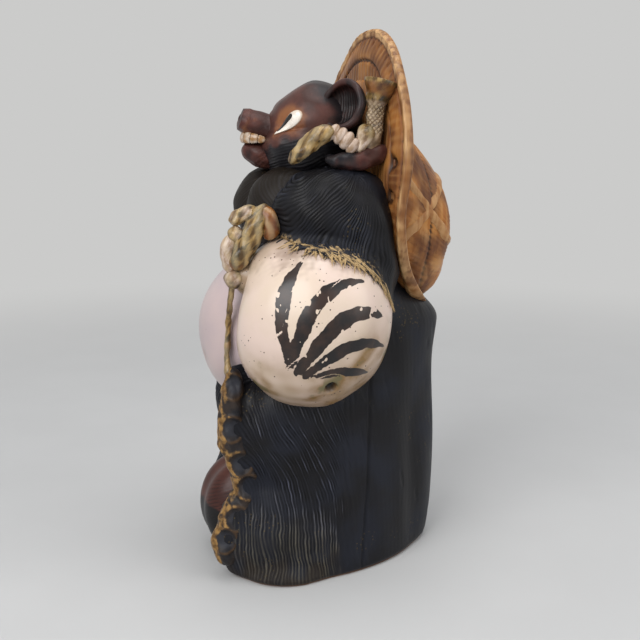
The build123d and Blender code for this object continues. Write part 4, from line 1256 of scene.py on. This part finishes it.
NOSE_CENTRE = (0, MUZZLE_TIP + 2, MUZZLE_Z + 2.5)
points, normal = clay_ball(lambda q: lump(q, NOSE_CENTRE, (8, 4, 5)), NOSE_CENTRE, (0, -1, 0), 50, 80, 30.0)
dents = nostrils(points[..., 0], points[..., 2], 4, 2, 1.6, 1.3)
sewn("nose_pad", out_of_head(pushed(points, normal, -1.6 * dents)), face_glaze, "nose_tip", slot="coat_glaze",
     relief=0.6 - 0.5 * dents, tone=0.36)

JAW_CENTRE = (0, -29.5, MUZZLE_Z - MUZZLE_HALF[1] - 6.5)
points, normal = clay_ball(lambda q: lump(q, JAW_CENTRE, (15, 16, 9)), JAW_CENTRE, (0, -1, 0), 70, 120, 40.0)
x, y, z = axes(points)
chin = combed(y * 0.7 - z * 0.6, points, 2.6, 161) * rise(y, -40, -32)
points = pushed(points, normal, 0.4 * wobble(points, 10.0, 162) - 0.3 * chin)
sewn("jaw_skin", out_of_head(points), face_glaze, "lower_jaw", slot="coat_glaze", relief=0.6,
     tone=clipped(0.46 + 0.12 * wobble(points, 14.0, 163)) * rise(points[..., 1], -16, -28))

# %% [markdown]
# The teeth are one strip of white clay pressed under the lip, from one corner of the mouth round the end of
# the muzzle to the other, and nicked with a needle into nine teeth. Dark glaze stays in the nicks.

# %% Teeth
TEETH = 9
half_row = [(15.2, -32.0, -19.4, 2.0), (13.5, -37.5, -20.2, 3.0), (11.2, -42.6, -21.2, 3.8), (6.8, -45.8, -21.7, 4.1)]
tooth_row = half_row + [(0.0, -46.8, -21.8, 4.1)] + [(-x, y, z, r) for x, y, z, r in half_row[::-1]]
rings, along, angle, ring = roll(tooth_row, 260, 40, first_side=(0, 0, 1), flat=0.55)
step = (along / along.max() * TEETH) % 1.0 - 0.5
nick = bell(np.abs(step) - 0.5, 0.09)
rings = pushed(rings, ring, 0.12 * wobble(rings, 5.0, 165) - 0.4 * nick)
sewn("teeth_row", out_of_head(rings), white_glaze, "upper_teeth", brush=0.6 * nick,
     edge=clipped(0.72 + 0.35 * wobble(rings, 5.0, 166)))

# %% [markdown]
# The ears are cups with a thick rolled rim. One profile runs from the middle of the hollow over the rim
# and down the back, and is spun round the ear's axis; short fur strokes are cut inside.

# %% Ears
EAR_RADIUS, EAR_DEPTH, EAR_WALL, EAR_ROWS = 18.0, 15.0, 4.5, 46
EAR_PLACE, EAR_FACING = (45.1, 6.0, 17.0), radians(50.0)


def ear(side, name, solid):
    t, r = np.linspace(0.02, pi / 2, EAR_ROWS), np.linspace(0, pi, 26)[1:-1]
    radius = np.concatenate([(EAR_RADIUS - EAR_WALL) * np.sin(t),
                             EAR_RADIUS - EAR_WALL / 2 - EAR_WALL / 2 * np.cos(r),
                             EAR_RADIUS * np.sin(t[::-1])])[:, None]
    depth = np.concatenate([-(EAR_DEPTH - EAR_WALL) * np.cos(t), EAR_WALL * 0.55 * np.sin(r),
                            -EAR_DEPTH * np.cos(t[::-1])])[:, None]
    angle = np.linspace(0, 2 * pi, 150, endpoint=False)[None, :]
    row = np.arange(len(radius))[:, None]
    inside = row < EAR_ROWS
    outward = np.array([sin(EAR_FACING) * side, -cos(EAR_FACING), 0.0])
    across = np.cross((0.0, 0.0, 1.0), outward)
    up, out = radius * np.cos(angle), radius * np.sin(angle)
    sunk = 6.0 * rise(out, 10, -19) * rise(radius, 2, 15)
    local = np.array(EAR_PLACE) * (side, 1, 1) + up[..., None] * (0, 0, 1) + out[..., None] * across
    local = pushed(local, outward, depth - sunk)
    fur = combed(out + 0.2 * up, local, 2.2, 171) * inside + (1 - inside)
    local = pushed(local, outward, 0.35 * wobble(local, 11.0, 172) - 0.6 * (1 - fur))
    on_rim = bell(row - 58, 9.0)
    sewn(name, out_of_head(local), face_glaze, solid, slot="coat_glaze",
         relief=clipped(0.1 + (0.5 - 0.25 * inside) * fur + 0.25 * on_rim),
         tone=clipped(0.2 + 0.06 * inside - 0.05 * on_rim + 0.15 * rise(out, 6, -12)))


ear(1, "ear_left_cup", "left_ear")
ear(-1, "ear_right_cup", "right_ear")

# %% [markdown]
# The hat's disc is woven straw pressed in clay: ribs run upright inside a ring groove, short strokes
# outside it, and a bound rim with notches at the top. The disc is a grid of circles that runs from the
# middle of the front, over the rim, to the middle of the back, so front and back are one closed skin.

# %% Hat disc
RIM_ROUND, STITCHES = 1.8, 62
HAT_HOLES = ((72, 286), (70, 264), (-72, 286), (-70, 264))

front_share = np.concatenate([np.linspace(0.02, 0.93, 120), np.linspace(0.935, 1.0, 22)])
back_share = front_share[::-1][::2]
edge_turn = np.linspace(-pi / 2, pi / 2, 16)[1:-1]
share = np.concatenate([front_share, np.ones_like(edge_turn), back_share])[:, None]
depth = np.concatenate([0 * front_share, 0.5 + 0.5 * np.sin(edge_turn), np.ones_like(back_share)])[:, None]
bulge = np.concatenate([0 * front_share, RIM_ROUND * np.cos(edge_turn), 0 * back_share])[:, None]
face = 1 - depth
angle = np.linspace(0, 2 * pi, 400, endpoint=False)[None, :]
stitch = clipped(np.cos(angle * STITCHES + 0.8 * np.sin(7 * angle)) * 2 - 0.8) * rise(np.sin(angle), 0.3, 0.75)
bitten = stitch * rise(share, 0.93, 0.99) * (1 - rise(depth, 0.5, 1.0))
uneven = 1 + 0.006 * np.sin(5 * angle + 1.0) + 0.004 * np.sin(11 * angle) - 0.010 * bitten
x = ((HAT_HALF_WIDTH - RIM_ROUND) * share * uneven + bulge) * np.cos(angle)
z = HAT_Z + ((HAT_HALF_HEIGHT - RIM_ROUND) * share * uneven + bulge) * np.sin(angle)
y = (sheet_front(z) + 2.8 * rise(share, 0.84, 0.97)) * face + sheet_back(z) * depth
disc = np.stack([x, y, z], -1)
inner = rise(share, 0.80, 0.785)
groove, bound = bell(share - 0.80, 0.012) * face, bell(share - 0.955, 0.012) * face
radial = combed(angle * 90.0 + 6 * share, disc, 6.3, 182)
weave = np.where(inner > 0.5, combed(x + 0.05 * z, disc, 5.2, 181), radial) * face + radial * depth
notch = clipped(np.cos(angle * STITCHES) * 3 - 1.8) * bell(share - 0.925, 0.018) * (0.4 + 1.4 * stitch) * face
holes = sum(np.exp(-(((z - at_z) / 4.4) ** 2 + ((x - at_x) / 4.2) ** 2)) for at_x, at_z in HAT_HOLES) * face
cut = (0.45 + 0.4 * inner) * (1 - weave) + 1.8 * groove + 0.9 * bound + 0.7 * notch + 5.5 * holes
lift = np.where(depth < 0.5, cut, -cut * (depth > 0.95)) * (share < 0.999)
disc[..., 1] += lift - 0.9 * wobble(disc, 60.0, 183)
raised = 0.38 + 0.65 * weave - 0.6 * groove - 0.25 * notch - 1.2 * holes - 0.3 * bound - 0.15 * bitten
rim = rise(share, 0.955, 0.975) * face + 0.7 * rise(np.abs(depth - 0.5), 0.3, 0.48) * (share >= 1)
sewn("hat_disc", disc, straw_glaze, "hat_brim", relief=clipped(raised),
     edge=clipped((rim - 0.25 * bitten) * (0.7 + 0.5 * wobble(disc, 14.0, 184))),
     stain=0.5 * rise(wobble(disc, 30.0, 185), 0.1, 0.9))

# %% [markdown]
# The crown behind the disc is a leaning cone with a rounded top. Straw runs down it from the top, and two
# flat ropes cross over it to tie the hat on. Each rope is laid on the crown by cutting it with a plane.

# %% Hat crown and lashing
CROWN_BASE_Y, CROWN_TOP_Y, CROWN_Z, CROWN_SAG = 28.5, 87.0, 274.5, 41.0
CROWN_RADII, CROWN_EDGE = (72.0, 44.0), 20.0
CROWN_DEPTH, CROWN_NARROWS = CROWN_TOP_Y - CROWN_BASE_Y, CROWN_RADII[0] - CROWN_RADII[1]


def crown_clay(p):
    """A leaning cone with a rounded top edge, and the sag that its weight left at the bottom."""
    x, y, z = axes(p)
    t = (y - CROWN_BASE_Y) / CROWN_DEPTH
    up = z - CROWN_Z + CROWN_SAG * t
    away = np.hypot(x, up) + 1e-6
    lean = (CROWN_SAG * up / away + CROWN_NARROWS) / CROWN_DEPTH
    length = np.sqrt(1 + lean**2)
    side = (away - CROWN_RADII[0] + CROWN_NARROWS * t) / length + CROWN_EDGE
    top = y - CROWN_TOP_Y + CROWN_EDGE
    meet = np.clip(lean / length, -0.98, 0.98)
    corner = np.sqrt(np.maximum(side**2 + top**2 - 2 * side * top * meet, 0) / (1 - meet**2))
    rounded = np.where((side > meet * top) & (top > meet * side), corner, np.maximum(side, top)) - CROWN_EDGE
    sagged = melted(rounded, lump(p, (0, 62, 215), (42, 29, 33)), 8.0)
    return np.maximum(sagged, CROWN_BASE_Y - y)


points, normal = clay_ball(crown_clay, (0, 52, 256), (0, 1, -0.35), 170, 330)
x, y, z = axes(points)
t = clipped((y - CROWN_BASE_Y) / CROWN_DEPTH)
straw = combed(np.arctan2(x, z - CROWN_Z + CROWN_SAG * t) * 62.0, points, 4.6, 191)
ledge = bell(t - 0.62, 0.02)
points = pushed(points, normal, 0.8 * wobble(points, 34.0, 193) - 0.6 * (1 - straw) - 0.9 * ledge)
sewn("hat_crown_skin", points, straw_glaze, "hat_crown", relief=clipped(0.3 + 0.5 * straw - 0.4 * ledge),
     edge=0.25 * rise(wobble(points, 30.0, 194), 0.2, 0.9), stain=rise(wobble(points, 28.0, 195), -0.5, 0.8))


def lashing(name, lean, *nodes):
    origin = np.array([0.0, 60.0, 254.0])
    turn = np.linspace(-0.62, pi + 0.62, 120)
    slope = np.array([0.0, cos(lean), sin(lean)])
    ways = np.cos(turn)[:, None] * (1.0, 0.0, 0.0) + np.sin(turn)[:, None] * slope
    path = pushed(origin, ways, leaving(crown_clay, origin, ways, 120.0))
    path = path[path[:, 1] > sheet_back(path[:, 2]) - 3.0]
    stations = np.column_stack([path[::6] - ways[: len(path)][::6], np.full(len(path[::6]), 3.4)])
    first_side = np.cross(slope, (1.0, 0.0, 0.0))
    rings, along, angle, ring = roll(stations, 220, 40, first_side=first_side, flat=0.5)
    strand = stranded(along, angle, 6, 9.0)
    rings = pushed(rings, ring, 0.3 * strand - 0.2 + 0.4 * wobble(rings, 12.0, 197))
    sewn(name, rings, straw_glaze, *nodes, relief=0.45 + 0.4 * strand, edge=0.45, stain=0.6)


lashing("lashing_rising", radians(45.0), "crown_lashing")
lashing("lashing_falling", radians(-45.0))

# %% [markdown]
# The flask's neck is tied with a bow of straw rope: a thick olive loop in front, an orange one behind it,
# pale lobes beside them, a knot, and one end that runs down between belly and flask to the coat's hem.
# They are rolls with shallow strands; the value "tone" carries white slip, olive and brown along them.

# %% Flask bow
def rope(name, stations, tone, *nodes, seed, strands=4, lay=16.0, depth=0.5, flat=1.0, columns=48, glaze=cord_glaze):
    rings, along, angle, ring = roll(stations, 130, columns, flat=flat)
    strand = stranded(along, angle, strands, lay)
    rings = pushed(rings, ring, depth * (strand - 1) + 0.7 * wobble(rings, 10.0, seed))
    mark = np.interp(along / along.max(), np.linspace(0, 1, len(tone)), tone) + 0.1 * wobble(rings, 9.0, seed + 1)
    sewn(name, rings, glaze, *nodes, slot="cord_glaze", tone=clipped(mark), relief=clipped(0.3 + 0.55 * strand))


rope("bow_main_loop", [(49, -75.5, 216.5, 5.2), (50, -72, 223, 6.8), (50.5, -67.5, 232.5, 7.4),
                       (51, -61, 244.5, 7.6), (50, -56.5, 253, 6.0), (47, -51, 256, 4.5)],
     (0.75, 0.5, 0.45, 0.5, 0.5, 0.6), "flask_bow_main", seed=203)
rope("bow_orange_loop", [(51, -56, 257, 3.6), (53.5, -52.5, 251, 5.6), (54, -51.5, 244, 6.0),
                         (52, -54.5, 236.5, 4.4)], (0.7, 0.9, 0.95, 0.8), seed=204, depth=0.3)
rope("bow_front_loop", [(46, -76, 246.5, 4.0), (46, -71.5, 251, 5.4), (46.5, -64, 253.5, 5.6), (48, -57, 254, 4.4)],
     (0.28, 0.34, 0.27, 0.4), "flask_bow_front", seed=205, depth=0.9)
rope("bow_lower_loop", [(46.5, -74, 246, 4.0), (46.5, -73, 240, 5.4), (47.5, -70, 234, 5.0)], (0.34, 0.32, 0.4),
     seed=206)
rope("bow_pale_loop", [(44.5, -75.5, 240, 3.8), (44, -77.5, 232, 5.2), (44, -77.5, 223, 5.6), (44.5, -76, 214, 4.6)],
     (0.1, 0.05, 0.05, 0.12), seed=208, depth=0.3)
rope("bow_knot", [(45, -73.5, 217, 5.4), (45.5, -75, 210, 7.0), (45.5, -75, 203.5, 5.2)], (0.24, 0.25, 0.38),
     "flask_knot", seed=207, depth=0.8)
rope("bow_hanging_end", [(45, -75.5, 207, 3.0), (41.5, -77.5, 190, 2.8), (40, -78.5, 170, 2.8),
                         (40.5, -79.5, 153, 3.2), (44, -78, 140, 4.6)], (0.45, 0.55, 0.6, 0.55, 0.6),
     "flask_cord_tail", seed=209, strands=1, lay=60.0, depth=0.15, flat=0.7, columns=30)

NECK_ROOT, NECK_LEAN = np.array([45.6, -56.3, 205.2]), np.array([-0.3665, -0.733, 0.573])
neck = [(*(NECK_ROOT + NECK_LEAN * t), r) for t, r in ((-3, 14.0), (5, 13.0), (12, 12.0), (22, 12.0))]
sewn("flask_neck_skin", roll(neck, 60, 90)[0], flask_glaze, "flask_neck", edge=0.3, stain=0.6)

# %% [markdown]
# The hat's cord comes over the shoulder: a broad olive leaf of rope, white turns wound beside the ear, a
# brown band to the hat whose front end is painted black as shadow, and a wrapped tassel that flares like a
# trumpet. The right shoulder has the plain cord alone.

# %% Hat cord
LEAF = [(52, -37.5, 285.5, 3.6), (53, -33.5, 290.5, 6.6), (54, -25, 298.5, 8.4), (54, -15, 305, 8.4),
        (54, -7, 307, 6.8)]
rope("cord_leaf_loop", LEAF, (0.45, 0.5, 0.5, 0.45, 0.35), "cord_leaf", seed=211, flat=0.72, depth=0.45)
# The band's front end is painted black (tone near 0) as the shadow that falls on it; further back it is brown.
rope("cord_band_painted_shadow", [(54, -14, 289, 3.0), (56.5, -6, 287.5, 5.2), (58.5, 3, 287, 6.6), (58.5, 13, 288.5, 7.0),
                        (58, 22, 292, 6.6), (58, 29, 296, 5.4)], (0.02, 0.05, 0.2, 0.55, 0.6, 0.5),
     "cord_band", seed=213, depth=0.2, glaze=face_glaze)
beaded("cord_white_turns", [(57, -9.2, 306), (58.5, -5.0, 303.6), (59.8, -1.0, 300.6), (60.6, 2.8, 297)],
       np.tile((0.15, 0.55, 0.8), (4, 1)), cord_glaze, ("cord_turns",),
       {"Width": 0.0043, "Length": 0.0062, "Taper": 0.1, "Uneven": 0.1, "Seed": 2}, {"tone": 0.18})
rope("cord_pale_knob", [(60, 7, 292.5, 3.4), (60, 9.5, 299, 4.6), (59.5, 13, 305.5, 6.4), (58.5, 17, 310, 4.5)],
     (0.0, 0.05, 0.4, 0.45), seed=215)

TASSEL = [(57.5, 16.5, 294, 5.4), (57.5, 18, 302, 6.4), (57.2, 19.3, 311, 5.7), (57, 20.3, 321, 5.9),
          (57, 21.3, 327, 7.2), (57, 23, 333, 9.6), (57, 24.5, 339, 11.4)]
rings, along, angle, ring = roll(TASSEL, 150, 72, round_ends=False)
crossed = np.minimum(np.abs(np.sin(5 * angle + along * 0.9)), np.abs(np.sin(5 * angle - along * 0.9)))
wrapped = rise(crossed, 0.1, 0.5)
on_stem = rise(along, 32, 28) * rise(along, 9, 13)
rings = pushed(rings, ring, 0.8 * wobble(rings, 9.0, 221) - 0.8 * (1 - wrapped) * on_stem)
mouth = rings[::-1][:60:3] - ring[::-1][:60:3] * np.linspace(2.6, 4.2, 20)[:, None, None]
tone = 0.3 + 0.5 * rise(along, 31, 38) - 0.4 * rise(along, 42, 47)
relief = 0.35 + 0.45 * wrapped * on_stem + 0.25 * (1 - on_stem)
sewn("cord_tassel_trumpet", np.concatenate([rings, mouth]), cord_glaze, "cord_tassel",
     tone=clipped(np.concatenate([tone, np.full(mouth.shape[:2], 0.7)])),
     relief=clipped(np.concatenate([relief, np.full(mouth.shape[:2], 0.3)])))

rope("cord_right_leaf", [(-x, y, z, r) for x, y, z, r in LEAF], (0.45, 0.5, 0.55, 0.5, 0.3), "cord_right", seed=223,
     flat=0.85, depth=0.7)
rope("cord_right_band", [(-53, -5, 305, 6.8), (-55, 5, 299, 7.0), (-57, 16, 292, 6.5), (-62, 28.5, 288, 6.5)],
     (0.2, 0.1, 0.6, 0.9), seed=225, depth=0.5)

# %% [markdown]
# The figure stands on a pale floor that curves up into a plain backdrop, so there is no hard horizon. Far
# from the figure the sheet shows its own pale grey to the camera instead of the falling lamp light, as an
# evenly lit wall would; near the figure it keeps the shadow. Beyond the sheet the world shows the same grey,
# so every other view has the same quiet background.

# %% Floor and backdrop
WALL_GREY = "cbcbca"
FLOOR_FRONT, FLOOR_BACK, CURVE_START, CURVE_RADIUS, WALL_TOP = 3.0, -1.6, -2.2, 0.9, 4.5
FLOOR_HALF_WIDTH, FLOOR_DROP = 6.0, 0.0002


def shown_plain(n, lit, plain, output, share=1.0):
    """Rays that make the picture see the plain grey, by a share; rays that light things see the lit surface."""
    ray = n.add("ShaderNodeLightPath").outputs
    seen = n.plus(ray["Is Camera Ray"], ray["Is Glossy Ray"], True)
    seen = n.plus(seen, ray["Is Transmission Ray"], True)
    blend = n.add("ShaderNodeMixShader", None, {0: n.times(seen, share), 1: lit, 2: plain})
    n.feed(n.tree.nodes[output].inputs["Surface"], blend.outputs["Shader"])


def make_floor_paint():
    n = Finish("pale_floor", 0.6, 0.0)
    wall = n.add("ShaderNodeEmission", Color=WALL_GREY, Strength=1.0).outputs["Emission"]
    reach = n.add("ShaderNodeVectorMath", {"operation": "LENGTH"}, {0: n.place()}).outputs["Value"]
    shown_plain(n, n.shader.outputs["BSDF"], wall, "Material Output", n.step(reach, 0.35, 1.5))
    return n.coloured(n.mix(n.clouds(0.12), "c0c0bf", "c2c2c1"))


sweep = [(FLOOR_FRONT, 0.0), (FLOOR_BACK, 0.0)]
sweep += [(CURVE_START - CURVE_RADIUS * sin(a), CURVE_RADIUS - CURVE_RADIUS * cos(a))
          for a in np.linspace(0, pi / 2, 14)]
sweep.append((CURVE_START - CURVE_RADIUS, WALL_TOP))
to_right = Vector((-to_camera.y, to_camera.x, 0.0))
corners = []
for depth, height in sweep:
    for across in (-FLOOR_HALF_WIDTH, FLOOR_HALF_WIDTH):
        place = to_camera * depth + to_right * across
        corners.append((place.x, place.y, height - FLOOR_DROP))
faces = [(2 * i, 2 * i + 1, 2 * i + 3, 2 * i + 2) for i in range(len(sweep) - 1)]
floor_mesh = bpy.data.meshes.new("floor_sweep")
floor_mesh.from_pydata(corners, [], faces)
floor_mesh.polygons.foreach_set("use_smooth", np.ones(len(faces), bool))
floor_mesh.materials.append(make_floor_paint())
floor = bpy.data.objects.new("floor_sweep", floor_mesh)
scene.collection.objects.link(floor)
sky = Nodes(world.node_tree)
plain_wall = sky.add("ShaderNodeBackground", Color=WALL_GREY, Strength=1.0).outputs["Background"]
shown_plain(sky, room_light.outputs["Background"], plain_wall, "World Output")
print("floor faces", len(faces))
